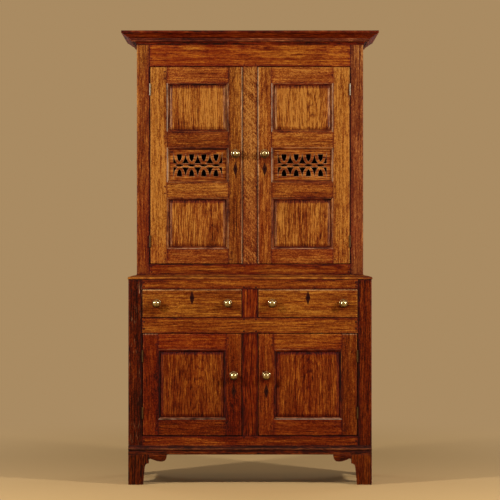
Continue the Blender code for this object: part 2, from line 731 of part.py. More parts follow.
def hinge_leaf_plate(hand, axis_x, axis_y, foot, tabs):
    """A leaf on one side of the hinge's middle, with a tab to each of its knuckles. hand is its side."""
    inner = axis_x + hand * HINGE_LEAF_PLAY / 2
    outer = inner + hand * HINGE_LEAF_THICK
    wall_middle = (HINGE_PIN_RADIUS + HINGE_PIN_PLAY + HINGE_KNUCKLE_RADIUS) / 2
    front = axis_y + HINGE_KNUCKLE_RADIUS + FIT
    ys = (axis_y + wall_middle, front, front + HINGE_LEAF_DEEP)
    zs = sorted({foot, foot + HINGE_HIGH, *(level for tab in tabs for level in tab)})

    def is_brass(i, j, k):
        has_tab = any(low <= zs[k] and zs[k + 1] <= high for low, high in tabs)
        return j == 1 or has_tab

    return grid_shape(sorted((inner, outer)), ys, zs, is_brass)


def make_hinge(name, hand, axis_x, axis_y, foot, pivot):
    """A butt hinge: the fixed leaf holds two knuckles and the pin, the moving leaf the middle knuckle."""
    head = foot + HINGE_HIGH
    low_joint = foot + HINGE_HIGH / 3
    high_joint = head - HINGE_HIGH / 3
    pin = HINGE_PIN_RADIUS
    knuckle = HINGE_KNUCKLE_RADIUS
    bore = pin + HINGE_PIN_PLAY
    centre = (axis_x, axis_y)

    profile = [(0, foot), (knuckle, foot), (knuckle, low_joint), (pin, low_joint)]
    profile += [(pin, high_joint), (knuckle, high_joint), (knuckle, head), (0, head)]
    tabs = ((foot, low_joint), (high_joint, head))
    fixed_name = f"{name}_fixed_leaf"
    fixed = add_object(fixed_name, hinge_leaf_plate(hand, *centre, foot, tabs), BRASS)
    pin_and_knuckles = add_object(f"{fixed_name}_pin", turned("Z", centre, profile, HINGE_SIDES))
    combine(fixed, pin_and_knuckles, "UNION")

    low, high = low_joint + FIT, high_joint - FIT
    profile = [(knuckle, low), (knuckle, high), (bore, high), (bore, low)]
    moving_name = f"{name}_moving_leaf"
    plate = hinge_leaf_plate(-hand, *centre, foot, ((low, high),))
    moving = add_object(moving_name, plate, BRASS, pivot)
    ring = turned("Z", centre, profile, HINGE_SIDES, ring=True)
    middle_knuckle = add_object(f"{moving_name}_knuckle", ring)
    combine(moving, middle_knuckle, "UNION")


def door_frame(name, front, low, high, openings, finish, pivot):
    """A joined frame with a moulded and grooved opening for each panel."""
    sections = [(front, low, high), (front + DOOR_THICK, low, high)]
    frame = add_object(f"{name}_frame", rectangle_stack("Y", sections), finish, pivot)
    for number, opening in enumerate(openings):
        cutter = add_object(f"{name}_opening_{number}", moulded_opening(front, *opening))
        combine(frame, cutter, "DIFFERENCE")
    return frame


def door_edges(hand, hinge_edge, lock_edge, hinge_stile, lock_stile):
    """The door's edges and the inner edges of its stiles across X, each from left to right."""
    outer = sorted((hand * hinge_edge, hand * lock_edge))
    inner = sorted((hand * (hinge_edge - hinge_stile), hand * (lock_edge + lock_stile)))
    return outer, inner


def hang_door(name, hand, opening_edge, front, foot, head):
    """The door's pivot and its two hinges, in the gap beside the opening's outer edge."""
    axis_x = hand * (opening_edge - HINGE_GAP / 2)
    axis_y = front - HINGE_KNUCKLE_RADIUS
    pivot = add_pivot(f"{name}_pivot", (axis_x, axis_y, foot))
    hinge_feet = {"low": foot + HINGE_FROM_END, "high": head - HINGE_FROM_END - HINGE_HIGH}
    for level, hinge_foot in hinge_feet.items():
        make_hinge(f"{name}_{level}_hinge", hand, axis_x, axis_y, hinge_foot, pivot)
    return pivot


def make_upper_door(side, hand):
    name = f"upper_{side}_door"
    opening_edge = UPPER_HALF - UPPER_STILE
    lock_edge = UPPER_MUNTIN / 2 + DOOR_GAP
    foot = UPPER_DOOR_FOOT + DOOR_GAP
    head = UPPER_DOOR_HEAD - DOOR_GAP
    pivot = hang_door(name, hand, opening_edge, UPPER_FRONT, foot, head)
    stiles = (UPPER_HINGE_STILE, UPPER_LOCK_STILE)
    outer, inner = door_edges(hand, opening_edge - HINGE_GAP, lock_edge, *stiles)

    bottom_foot = foot + UPPER_DOOR_BASE_RAIL
    bottom_head = bottom_foot + BOTTOM_PANEL_OPENING
    fret_foot = bottom_head + UPPER_MIDDLE_RAIL
    fret_head = fret_foot + FRET_OPENING
    top_foot = fret_head + UPPER_MIDDLE_RAIL
    top_head = head - UPPER_TOP_RAIL
    bottom = sight_opening((inner[0], bottom_foot), (inner[1], bottom_head))
    fret = sight_opening((inner[0], fret_foot), (inner[1], fret_head))
    top = sight_opening((inner[0], top_foot), (inner[1], top_head))

    corners = ((outer[0], foot), (outer[1], head))
    frame = door_frame(name, UPPER_FRONT, *corners, (bottom, fret, top), HONEY_OAK, pivot)
    fielded_panel(f"{name}_bottom_panel", UPPER_FRONT, *bottom, HONEY_OAK, pivot)
    fret_panel(f"{name}_fret_panel", UPPER_FRONT, *fret, HONEY_OAK, pivot)
    fielded_panel(f"{name}_top_panel", UPPER_FRONT, *top, HONEY_OAK, pivot)
    knob_x = hand * (lock_edge + UPPER_LOCK_STILE / 2)
    knob_z = foot + UPPER_KNOB_HEIGHT
    drill_for_knob(frame, knob_x, UPPER_FRONT, knob_z, DOOR_THICK)
    knob(f"{name}_knob", knob_x, UPPER_FRONT, knob_z, UPPER_KNOB_RADIUS, pivot)


def make_lower_door(side, hand):
    name = f"lower_{side}_door"
    opening_edge = LOWER_HALF - LOWER_STILE
    lock_edge = LOWER_MUNTIN / 2 + DOOR_GAP
    foot = LOWER_DOOR_FOOT + DOOR_GAP
    head = DRAWER_RAIL_FOOT - DOOR_GAP
    pivot = hang_door(name, hand, opening_edge, LOWER_FRONT, foot, head)
    stiles = (LOWER_DOOR_STILE, LOWER_DOOR_STILE)
    outer, inner = door_edges(hand, opening_edge - HINGE_GAP, lock_edge, *stiles)
    opening_foot = foot + LOWER_DOOR_BASE_RAIL
    opening_head = head - LOWER_DOOR_TOP_RAIL
    panel = sight_opening((inner[0], opening_foot), (inner[1], opening_head))

    corners = ((outer[0], foot), (outer[1], head))
    frame = door_frame(name, LOWER_FRONT, *corners, (panel,), RED_OAK, pivot)
    fielded_panel(f"{name}_panel", LOWER_FRONT, *panel, RED_OAK, pivot)
    knob_x = hand * (lock_edge + LOWER_DOOR_STILE / 2)
    knob_z = foot + LOWER_KNOB_HEIGHT
    drill_for_knob(frame, knob_x, LOWER_FRONT, knob_z, DOOR_THICK)
    knob(f"{name}_knob", knob_x, LOWER_FRONT, knob_z, LOWER_KNOB_RADIUS, pivot)


def make_drawer(side, hand):
    """A drawer front, and the sides, back and bottom of its box joined as one body behind it."""
    name = f"{side}_drawer"
    inner = LOWER_MUNTIN / 2 + DRAWER_GAP
    outer = LOWER_HALF - LOWER_STILE - DRAWER_GAP
    left, right = sorted((hand * inner, hand * outer))
    foot = DRAWER_FOOT + DRAWER_GAP
    head = DRAWER_HEAD - DRAWER_GAP
    front_back = LOWER_FRONT + DRAWER_FRONT_THICK
    pivot = add_pivot(f"{name}_pivot", ((left + right) / 2, LOWER_FRONT, (foot + head) / 2))
    shape = box_shape((left, LOWER_FRONT, foot), (right, front_back, head))
    front = add_object(f"{name}_front", shape, RED_OAK, pivot)

    box_foot = DRAWER_FOOT + FIT
    bottom_foot = box_foot + DRAWER_BOTTOM_RAISE
    bottom_top = bottom_foot + DRAWER_BOTTOM_THICK
    box_front = front_back + FIT
    box_back = LOWER_FRONT + DRAWER_LONG
    xs = (left, left + DRAWER_SIDE_THICK, right - DRAWER_SIDE_THICK, right)
    ys = (box_front, box_back - DRAWER_SIDE_THICK, box_back)
    zs = (box_foot, bottom_foot, bottom_top, DRAWER_HEAD - DRAWER_TOP_ROOM)
    shape = grid_shape(xs, ys, zs, lambda i, j, k: i in (0, 2) or j == 1 or k == 1)
    add_object(f"{name}_box", shape, INSIDE_OAK, pivot)

    middle = (foot + head) / 2
    for end, knob_x in (("left", left + DRAWER_KNOB_INSET), ("right", right - DRAWER_KNOB_INSET)):
        drill_for_knob(front, knob_x, LOWER_FRONT, middle, DRAWER_FRONT_THICK)
        knob(f"{name}_{end}_knob", knob_x, LOWER_FRONT, middle, LOWER_KNOB_RADIUS, pivot)


clear_scene()
make_cornice()
make_upper_face_frame()
make_upper_case()
make_lower_face_frame()
make_lower_case()
for door_side, door_hand in SIDES.items():
    make_upper_door(door_side, door_hand)
    make_lower_door(door_side, door_hand)
    make_drawer(door_side, door_hand)
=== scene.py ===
"""The looks of the bread and cheese cupboard: its boards, mouldings, brass and wax, in metres, +Z up.

Every board of the joined frames is a piece of its own, with worn edges and its own cut of oak.
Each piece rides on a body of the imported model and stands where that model's solid is.
"""

import math
import random

import bmesh
import bpy
import numpy as np
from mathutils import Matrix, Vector


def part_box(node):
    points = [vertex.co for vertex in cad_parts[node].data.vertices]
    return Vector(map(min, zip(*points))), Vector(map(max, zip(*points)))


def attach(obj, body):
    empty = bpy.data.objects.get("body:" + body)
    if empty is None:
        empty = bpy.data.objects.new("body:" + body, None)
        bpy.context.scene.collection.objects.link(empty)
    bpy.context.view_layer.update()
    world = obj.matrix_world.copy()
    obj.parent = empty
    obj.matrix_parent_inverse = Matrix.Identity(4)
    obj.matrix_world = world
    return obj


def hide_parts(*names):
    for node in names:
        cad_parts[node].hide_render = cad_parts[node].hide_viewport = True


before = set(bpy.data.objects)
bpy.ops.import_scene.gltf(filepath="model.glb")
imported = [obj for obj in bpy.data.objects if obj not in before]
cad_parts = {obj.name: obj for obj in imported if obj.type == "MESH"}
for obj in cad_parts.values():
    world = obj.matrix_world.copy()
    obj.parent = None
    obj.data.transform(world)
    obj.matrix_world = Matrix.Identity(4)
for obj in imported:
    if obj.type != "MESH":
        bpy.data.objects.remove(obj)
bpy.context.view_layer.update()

# Gaps and depths of the solids
DOOR_GAP = 0.0025
HINGE_GAP = 0.0034
DRAWER_GAP = 0.0018
FIT = 0.0003
PANEL_HOLD = 0.0072  # of a panel's edge inside its groove
OVOLO_WIDE = 0.010
OVOLO_DEEP = 0.0075
OVOLO_QUIRK = 0.0012
OVOLO_FILLET = 0.0026
OVOLO_STEPS = 7
GROOVE_FRONT = 0.0085
GROOVE_WIDE = 0.0066
GROOVE_DEEP = 0.008
FIELD_RAISE = 0.004
FIELD_BEVEL = 0.011
FIELD_LEDGE = 0.001
DRAWER_SIDE_THICK = 0.010
DRAWER_BOTTOM_RAISE = 0.006
DRAWER_BOTTOM_THICK = 0.007
GUIDE_HIGH = 0.030
BOARD_THICK = 0.018
WAIST_UNDERCUT = 0.003

# Boards
CELL = 0.012  # size of the cells that a show face is divided into
BIG_CELL = 0.08
SAME_PLACE = 1e-5  # places nearer than this are one
BACK_ROUND = 0.0006
BACK_WEAR = 0.2
MITRE_LEAST = 0.35  # keeps an inset from running far out at a sharp corner
WEAR_WIDE = 0.007
JOINT_WIDE = 0.003
SHADE_AND_GRIME_WIDE = 0.014
CRACK = 0.0001  # left between two boards of a side or a top, and at each edge of a back board
PEG_RADIUS = 0.0042
PEG_PROUD = 0.0006
PEG_DEEP = 0.004
PEG_INSET = 0.008
PEG_SIDES = 10
PEG_SHARES = (0.28, 0.72)  # of a rail's height, where its pegs are
DOOR_BACK_DRY = 0.8
SIDE_SPLIT = 0.54  # of an upper side's depth, where its two planks meet
TOP_BOARDS = 3
BACK_BOARDS = 5
GUIDE_GAP = 0.0005

# How a board lies in its log: lean, place along it, heart to one side as a share of the width, and depth
RANDOM_SEED = "cupboard oak"
LOG_LEAN = 0.05
LOG_LONG = 40
HEART_SIDE = 0.7
HEART_DEPTH = (0.025, 0.07)
TONE_SHIFT = 0.025

# Tones of the oak: from dark to light, and from red to golden
TONES = {
    "gold": (0.815, 0.96),
    "honey": (0.795, 0.92),
    "wheat": (0.76, 0.88),
    "amber": (0.725, 0.76),
    "flecked": (0.70, 1.00),
    "tan": (0.615, 1.00),
    "copper": (0.665, 0.42),
    "rust": (0.63, 0.08),
    "chestnut": (0.585, 0.45),
    "umber": (0.50, 0.58),
    "oat": (0.565, 0.62),
    "nut": (0.67, 0.80),
    "toffee": (0.68, 0.62),
    "brick": (0.595, 0.02),
    "mahogany": (0.435, 0.05),
    "liver": (0.485, 0.20),
    "plum": (0.388, 0.0),
    "cedar": (0.605, 0.27),
    "fawn": (0.60, 0.56),
    "barley": (0.75, 0.72),
    "auburn": (0.53, 0.27),
    "walnut": (0.47, 0.55),
    "cocoa": (0.31, 0.28),
    "smoke": (0.28, 0.40),
    "soot": (0.205, 0.50),
    "bark": (0.245, 0.45),
    "peat": (0.365, 0.52),
    "sable": (0.445, 0.33),
    "coal": (0.175, 0.32),
    "dry": (0.52, 0.60),
}

# Marks of age on the front: place across and up, half width and height, then lighter and more golden
MARKS = (
    (-0.308, 1.575, 0.016, 0.034, -0.30, -0.3),
    (-0.369, 1.610, 0.012, 0.032, -0.22, -0.2),
    (-0.300, 1.560, 0.050, 0.014, -0.12, -0.1),
    (-0.159, 1.789, 0.012, 0.010, -0.18, 0.0),
    (-0.250, 1.800, 0.060, 0.008, 0.14, 0.2),
    (-0.177, 1.100, 0.012, 0.036, -0.20, -0.1),
    (-0.275, 1.130, 0.050, 0.050, 0.06, 0.2),
    (-0.319, 0.421, 0.013, 0.020, -0.24, -0.1),
    (-0.322, 0.345, 0.016, 0.014, -0.16, -0.1),
    (-0.265, 0.470, 0.014, 0.040, -0.12, 0.0),
    (-0.150, 0.430, 0.030, 0.070, 0.07, 0.2),
    (0.250, 0.470, 0.012, 0.034, -0.18, -0.1),
    (0.150, 0.400, 0.030, 0.090, 0.07, 0.2),
    (0.345, 0.430, 0.026, 0.080, 0.05, 0.2),
    (-0.249, 1.900, 0.034, 0.012, 0.16, 0.6),
    (0.300, 1.860, 0.060, 0.014, -0.12, -0.1),
    (-0.305, 0.757, 0.060, 0.012, 0.10, 0.4),
    (-0.420, 0.740, 0.030, 0.014, -0.12, 0.0),
    (0.210, 0.752, 0.080, 0.012, 0.09, 0.3),
    (0.440, 0.830, 0.020, 0.020, -0.10, -0.1),
    (0.340, 1.090, 0.012, 0.040, -0.14, -0.1),
    (0.230, 1.640, 0.020, 0.050, 0.07, 0.2),
    (0.335, 1.570, 0.016, 0.030, -0.14, -0.1),
    (-0.420, 1.270, 0.014, 0.090, 0.06, 0.2),
    (0.395, 1.330, 0.012, 0.120, 0.06, 0.1),
    (-0.070, 1.140, 0.018, 0.100, -0.12, -0.1),
    (0.065, 1.700, 0.014, 0.060, -0.10, 0.0),
    (0.010, 1.690, 0.006, 0.016, -0.30, -0.2),
    (-0.505, 0.560, 0.008, 0.080, 0.10, 0.1),
    (-0.450, 0.665, 0.040, 0.006, 0.20, 0.3),
    (-0.465, 1.860, 0.020, 0.050, 0.10, 0.5),
    (-0.465, 1.120, 0.020, 0.130, -0.06, -0.3),
    (0.465, 1.400, 0.020, 0.200, 0.0, -0.3),
    (0.465, 1.080, 0.020, 0.060, 0.04, -0.4),
    (0.225, 1.165, 0.034, 0.050, -0.15, -0.3),
    (0.150, 1.140, 0.018, 0.090, 0.08, 0.3),
    (0.260, 0.975, 0.090, 0.008, 0.14, 0.4),
    (-0.300, 0.420, 0.220, 0.220, -0.04, -0.05),
    # These two darken the front feet towards the floor
    (-0.530, 0.000, 0.060, 0.030, -0.05, 0.0),
    (0.530, 0.000, 0.060, 0.030, -0.06, 0.0),
    (-0.075, 0.270, 0.030, 0.070, -0.14, -0.25),
    (-0.075, 0.560, 0.030, 0.080, 0.06, 0.15),
    (0.420, 0.400, 0.120, 0.250, -0.03, -0.03),
    (-0.405, 0.990, 0.030, 0.050, -0.12, -0.40),
    (0.390, 0.990, 0.030, 0.050, -0.10, -0.35),
    (-0.401, 1.530, 0.020, 0.060, 0.06, 0.20),
    (-0.366, 1.700, 0.008, 0.090, -0.14, 0.00),
    (0.382, 1.212, 0.008, 0.008, -0.30, -0.20),
    (0.000, 1.090, 0.030, 0.150, -0.15, -0.60),
    (0.000, 1.680, 0.030, 0.160, 0.05, 0.10),
    (-0.240, 1.867, 0.160, 0.050, -0.04, -0.08),
    (0.250, 1.867, 0.160, 0.050, 0.11, 0.45),
    (-0.227, 1.388, 0.120, 0.060, 0.05, 0.10),
    (0.230, 1.388, 0.120, 0.060, 0.05, 0.06),
    (-0.066, 1.660, 0.020, 0.150, 0.05, 0.12),
    (-0.066, 1.120, 0.020, 0.130, -0.03, -0.15),
    (0.066, 1.120, 0.020, 0.130, -0.02, -0.12),
    (-0.072, 0.300, 0.024, 0.080, -0.13, -0.15),
    (-0.075, 0.575, 0.024, 0.070, -0.05, -0.08),
    (0.000, 0.787, 0.035, 0.060, -0.05, 0.00),
    (-0.465, 1.090, 0.030, 0.140, -0.02, -0.18),
    (0.465, 1.090, 0.030, 0.140, -0.04, -0.10),
)
MARKS_FRONT = -0.150  # a mark reaches points nearer than this
# A dark patch just below each knob: partly the dark that hands leave, partly a painted shadow of the knob
HANDLED_AND_SHADOW_WIDE = 0.016
HANDLED_AND_SHADOW_DROP = 0.012
HANDLED_AND_SHADOW_TONE = (-0.30, -0.3)

X, Y, Z = range(3)
SIDES = {"left": -1, "right": 1}


def corners_of(node):
    low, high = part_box(node)
    return tuple(low), tuple(high)


def middle_of(node):
    """The middle of a node across X and Z."""
    low, high = corners_of(node)
    return (low[0] + high[0]) / 2, (low[2] + high[2]) / 2


KNOB_PLACES = [middle_of(name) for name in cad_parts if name.endswith("_knob")]
HANDLED_AND_SHADOW = [(x, z - HANDLED_AND_SHADOW_DROP, HANDLED_AND_SHADOW_WIDE, HANDLED_AND_SHADOW_WIDE, *HANDLED_AND_SHADOW_TONE) for x, z in KNOB_PLACES]


class Value:
    """A socket of a material. Sums and products of values add the Math nodes for them."""

    def __init__(self, tree, socket):
        self.tree = tree
        self.socket = socket

    def node(self, kind, settings=None, sockets=None, output=0):
        """Any node: its type, its settings, then the values or links of its sockets."""
        made = self.tree.nodes.new(kind)
        for name, setting in (settings or {}).items():
            if name == "stops":
                put_stops(made.color_ramp, setting)
            else:
                setattr(made, name, setting)
        for name, value in (sockets or {}).items():
            feed(made, name, value)
        return Value(self.tree, made.outputs[output])

    def math(self, operation, *values):
        """A Math node on the values in the order given."""
        return self.node("ShaderNodeMath", {"operation": operation}, dict(enumerate(values)))

    def __add__(self, other):
        return self.math("ADD", self, other)

    def __radd__(self, other):
        return self.math("ADD", other, self)

    def __sub__(self, other):
        return self.math("SUBTRACT", self, other)

    def __rsub__(self, other):
        return self.math("SUBTRACT", other, self)

    def __mul__(self, other):
        return self.math("MULTIPLY", self, other)

    def __pow__(self, other):
        return self.math("POWER", self, other)

    def fraction(self):
        return self.math("FRACT", self)

    def between(self, low, high):
        """0 below low, 1 above high, and a smooth step from one to the other."""
        settings = {"interpolation_type": "SMOOTHSTEP"}
        return self.node("ShaderNodeMapRange", settings, {"Value": self, "From Min": low, "From Max": high})

    def clamped(self):
        return self.node("ShaderNodeClamp", None, {"Value": self})

    def parts(self):
        return [self.node("ShaderNodeSeparateXYZ", None, {0: self}, n) for n in range(3)]

    def noise(self, along, across, deep, scales, detail):
        """Noise with its scale given for each direction."""
        steps = (along * scales[0], across * scales[1], deep * scales[2])
        place = self.node("ShaderNodeCombineXYZ", None, dict(enumerate(steps)))
        return self.node("ShaderNodeTexNoise", None, {"Vector": place, "Scale": 1.0, "Detail": detail})

    def mixed(self, first, second):
        """A colour between two, with this value as the share of the second."""
        sockets = {0: self, 6: first, 7: second}
        return self.node("ShaderNodeMix", {"data_type": "RGBA"}, sockets, 2)


def put_stops(ramp, stops):
    """A ramp's stops, each a place and a colour. The ramp starts with two."""
    while len(ramp.elements) < len(stops):
        ramp.elements.new(0.5)
    for element, (place, colour) in zip(ramp.elements, stops):
        element.position = place
        element.color = (*colour, 1.0)


def start_material(name):
    """A new material, its main shader, and a value to add nodes from."""
    material = bpy.data.materials.new(name)
    material.use_nodes = True
    tree = material.node_tree
    shader = tree.nodes["Principled BSDF"]
    start = Value(tree, shader.outputs[0])
    return material, shader, start


def feed(node, name, value):
    """Links a value to an input of a node, or sets the input to a plain number or colour."""
    if isinstance(value, Value):
        value.tree.links.new(value.socket, node.inputs[name])
    else:
        node.inputs[name].default_value = value


def attribute(start, name):
    return start.node("ShaderNodeAttribute", {"attribute_name": name}, None, 1)


def object_place(start):
    return start.node("ShaderNodeTexCoord", None, None, 3)


RED_STOPS = (
    (0.00, (0.014, 0.0008, 0.0003)),
    (0.15, (0.044, 0.0022, 0.0003)),
    (0.33, (0.097, 0.0055, 0.0003)),
    (0.47, (0.145, 0.0120, 0.0004)),
    (0.60, (0.197, 0.0240, 0.0022)),
    (0.72, (0.256, 0.0400, 0.0030)),
    (0.85, (0.333, 0.0660, 0.0060)),
    (1.00, (0.450, 0.1180, 0.0060)),
)
GOLD_STOPS = (
    (0.00, (0.018, 0.0024, 0.0004)),
    (0.15, (0.048, 0.0065, 0.0005)),
    (0.33, (0.102, 0.0160, 0.0007)),
    (0.47, (0.152, 0.0290, 0.0010)),
    (0.60, (0.208, 0.0490, 0.0050)),
    (0.72, (0.280, 0.0790, 0.0065)),
    (0.85, (0.375, 0.1200, 0.0105)),
    (1.00, (0.510, 0.1900, 0.0220)),
)
DRY_STOPS = (
    (0.00, (0.020, 0.0110, 0.006)),
    (0.30, (0.075, 0.0420, 0.020)),
    (0.55, (0.168, 0.0930, 0.042)),
    (0.80, (0.300, 0.1900, 0.100)),
    (1.00, (0.580, 0.4350, 0.310)),
)

RINGS_PER_METRE = 110.0
LINE_DEPTH = 0.3
# Patterns of the grain: scale along it and across it, detail, and scale into the wood over that across it
GRAINS = {
    "strands": (3.0, 75.0, 3.0, LINE_DEPTH),
    "lines": (9.0, 220.0, 1.0, LINE_DEPTH),
    "dashes": (36.0, 210.0, 1.0, LINE_DEPTH),
    "specks": (100.0, 190.0, 1.0, 1.0),
    "dots": (230.0, 270.0, 1.0, 1.0),
    "patch": (3.5, 10.0, 2.0, 1.0),
    "cloud": (9.0, 26.0, 2.0, 1.0),
    "warmth": (6.0, 20.0, 1.0, 1.0),
}


def make_oak(name, roughness, contrast, bloom=0.0):
    """Waxed oak. The mesh says where in the log each point was, and its tone, wear, darkening and dryness:
    the darkening is soiling and painted shade, and dryness on worn crests and edges is a painted highlight.
    bloom is how dry the wood is all over."""
    material, shader, start = start_material(name)
    along, across, deep = attribute(start, "timber").parts()
    tone, gold, wear = attribute(start, "finish").parts()
    dry, fleck, dirt = attribute(start, "state").parts()

    def noise(along_scale, across_scale, detail=2.0, depth=1.0):
        return start.noise(along, across, deep, (along_scale, across_scale, across_scale * depth), detail)

    # Year rings, each with a dark band of open pores at its start
    bend = noise(2.0, 6.0) - 0.5
    ring_across = across + bend * 0.05
    ring_deep = deep + bend * 0.04
    radius = (ring_across * ring_across + ring_deep * ring_deep) ** 0.5
    waver = noise(11.0, 60.0, 3.0) - 0.5
    ring = (radius * RINGS_PER_METRE + waver * 1.6).fraction()
    broken = noise(45.0, 210.0).between(0.36, 0.60)
    bands = (1.0 - ring.between(0.0, 0.50)) * (0.30 + broken * 0.70)

    # The patterns, pores, rays across the grain, and places that are rubbed or scuffed
    patterns = [noise(*scales) - 0.5 for scales in GRAINS.values()]
    strands, lines, dashes, specks, dots, patch, cloud, warmth = patterns
    pores = noise(60.0, 620.0, 1.0).between(0.58, 0.70)
    slant = along + across * 1.1
    rays = start.noise(slant, across, deep, (100.0, 14.0, 14.0), 1.0) - 0.5
    rubbed = wear * noise(30.0, 60.0).between(0.30, 0.62)
    scuffed = fleck.between(1.0, 2.0)
    scuffs = noise(22.0, 270.0, 1.0).between(0.60, 0.70) * cloud.between(-0.08, 0.12) * scuffed
    fleck = fleck.clamped() * (1.0 - scuffed * 0.7)
    plain = 1.0 - fleck

    # The figure of the wood, then its colour, gloss and relief
    figure = strands * (plain * 0.60 + 0.25) + lines * (plain * 0.40 + 0.50) + dashes * (plain * 0.70 + 0.15)
    figure = figure + specks * (fleck * 0.70 + 0.15) + dots * (fleck * 0.75 + 0.40)
    figure = figure + patch * 0.25 + cloud * 0.28 + 0.07
    figure = figure - bands * (plain * 0.34 + 0.03) - pores * 0.10 + rays * fleck.between(0.6, 0.9) * 0.7
    # Soiling and painted shade darken the level and make it redder; dryness on worn places lightens it as a
    # painted highlight
    level = tone + figure * contrast + rubbed * 0.08 + wear * dry * 0.45 - dirt * 0.46 + scuffs * 0.42
    golden = gold + (warmth + strands + figure * 0.5) * (0.20 + gold * 0.50) + rubbed * 0.1 - dirt * 0.5
    sockets = {0: level.clamped()}
    ramps = (RED_STOPS, GOLD_STOPS, DRY_STOPS)
    red_colour, gold_colour, dry_colour = (
        start.node("ShaderNodeValToRGB", {"stops": stops}, sockets) for stops in ramps
    )
    polished = golden.clamped().mixed(red_colour, gold_colour)
    # Dryness greys the colour: dry wood, and on worn crests and edges a painted pale highlight
    feed(shader, "Base Color", (dry + scuffs * 0.7 + bloom).clamped().mixed(polished, dry_colour))
    gloss = roughness + specks * 0.30 + patch * 0.15 + bands * 0.10 + dry * 0.34 + dirt * 0.30 + wear * 0.25
    feed(shader, "Roughness", gloss.clamped())
    feed(shader, "Specular IOR Level", 0.14)
    height = specks * 0.4 + dashes * 0.4 - bands * 0.4 - pores * 0.5
    relief = {"Height": height, "Strength": 0.35, "Distance": 0.0006}
    feed(shader, "Normal", start.node("ShaderNodeBump", None, relief))
    return material


def make_brass(name, bright, dark, roughness):
    """Brass, dulled to its dark colour by a cloud of tarnish and where the mesh is marked dark: tarnish, and
    on the knobs painted shade on the lower half and towards the rim.
    """
    material, shader, start = start_material(name)
    place = object_place(start)
    dirt = attribute(start, "state").parts()[2]
    cloud = start.node("ShaderNodeTexNoise", None, {"Vector": place, "Scale": 160.0, "Detail": 3.0})
    spots = start.node("ShaderNodeTexNoise", None, {"Vector": place, "Scale": 900.0, "Detail": 2.0})
    dull = (cloud.between(0.42, 0.70) * 0.5 + dirt).clamped()
    feed(shader, "Base Color", dull.mixed((*bright, 1.0), (*dark, 1.0)))
    feed(shader, "Roughness", roughness + dull * 0.22 + (spots - 0.5) * 0.10)
    feed(shader, "Metallic", 1.0)
    return material


def make_ebony():
    """The dark inlay of the escutcheons, and the shadow inside their keyholes."""
    material, shader, start = start_material("dark_inlay")
    streak = start.noise(*object_place(start).parts(), (700.0, 700.0, 60.0), 2.0)
    dirt = attribute(start, "state").parts()[2]
    colour = streak.between(0.3, 0.7).mixed((0.016, 0.003, 0.002, 1.0), (0.048, 0.009, 0.004, 1.0))
    feed(shader, "Base Color", dirt.mixed(colour, (0.002, 0.0015, 0.001, 1.0)))
    feed(shader, "Roughness", 0.60 + streak * 0.2 + dirt * 0.2)
    feed(shader, "Specular IOR Level", 0.06)
    return material


FINISHES = {
    "honey_oak": make_oak("honey_oak_waxed", roughness=0.36, contrast=1.1, bloom=0.03),
    "red_oak": make_oak("red_oak_waxed", roughness=0.36, contrast=0.98),
    "dark_oak": make_oak("dark_oak_waxed", roughness=0.34, contrast=0.95),
    "inside_oak": make_oak("inside_oak_dry", roughness=0.46, contrast=0.8),
    "matt_oak": make_oak("dark_oak_matt", roughness=0.80, contrast=0.95),
    "brass": make_brass("handled_brass", (0.66, 0.54, 0.27), (0.11, 0.075, 0.030), roughness=0.19),
    "old_brass": make_brass("hinge_brass", (0.16, 0.10, 0.045), (0.03, 0.018, 0.010), roughness=0.34),
    # A lighter brass for the high hinges of the upper doors: a painted highlight
    "rubbed_brass": make_brass("rubbed_brass", (0.30, 0.26, 0.19), (0.12, 0.10, 0.07), roughness=0.42),
    "ebony": make_ebony(),
}


class Solid:
    """A closed shape before it becomes a piece. Each of its spots is a place, wear, darkening (soiling and
    painted shade) and dryness (also a painted highlight on worn crests and edges).
    """

    def __init__(self, spots, faces):
        places, *values = zip(*spots)
        self.points = np.array(places, float)
        self.wear, self.dirt, self.dry = np.array(values, float)
        self.faces = [list(face) for face in faces]
        count = len(self.points)
        self.tone, self.gold, self.fleck = np.zeros((3, count))
        self.timber = np.zeros((count, 3))

    def cut(self, name, tone, grain, fleck=0.0, tilt=None, heart=None):
        """Takes the shape from a log of its own, with the grain along an axis, and gives it a tone.
        tilt is the lean of the log's heart, and heart its share of the width from the middle."""
        draw = random.Random(f"{RANDOM_SEED} {name}")
        low = self.points.min(axis=0)
        high = self.points.max(axis=0)
        middle = (low + high) / 2
        deep, across = sorted((n for n in range(3) if n != grain), key=lambda n: high[n] - low[n])
        lean = draw.uniform(-LOG_LEAN, LOG_LEAN) if tilt is None else tilt
        start = draw.uniform(0, LOG_LONG)
        side = draw.uniform(-HEART_SIDE, HEART_SIDE) * (high[across] - low[across])
        if heart is not None:
            side = -heart * (high[across] - low[across])
        depth = draw.uniform(*HEART_DEPTH)
        run = self.points[:, grain] - middle[grain]
        self.timber[:, 0] = run + start
        self.timber[:, 1] = self.points[:, across] - middle[across] + side
        self.timber[:, 2] = self.points[:, deep] - middle[deep] + depth + lean * run
        level, gold = TONES[tone]
        self.tone[:] = level + draw.uniform(-TONE_SHIFT, TONE_SHIFT)
        self.gold[:] = gold
        self.fleck[:] = fleck
        self.mark()
        return self

    def mark(self):
        """Puts the marks of age on the points at the front, and below each knob a dark patch that is partly
        the dark hands leave and partly a painted shadow of the knob.
        """
        is_front = self.points[:, 1] < MARKS_FRONT
        for x, z, wide, tall, lighter, golder in (*MARKS, *HANDLED_AND_SHADOW):
            spread = ((self.points[:, 0] - x) / wide) ** 2 + ((self.points[:, 2] - z) / tall) ** 2
            share = np.exp(-spread / 2) * is_front
            self.tone += lighter * share
            self.gold += golder * share


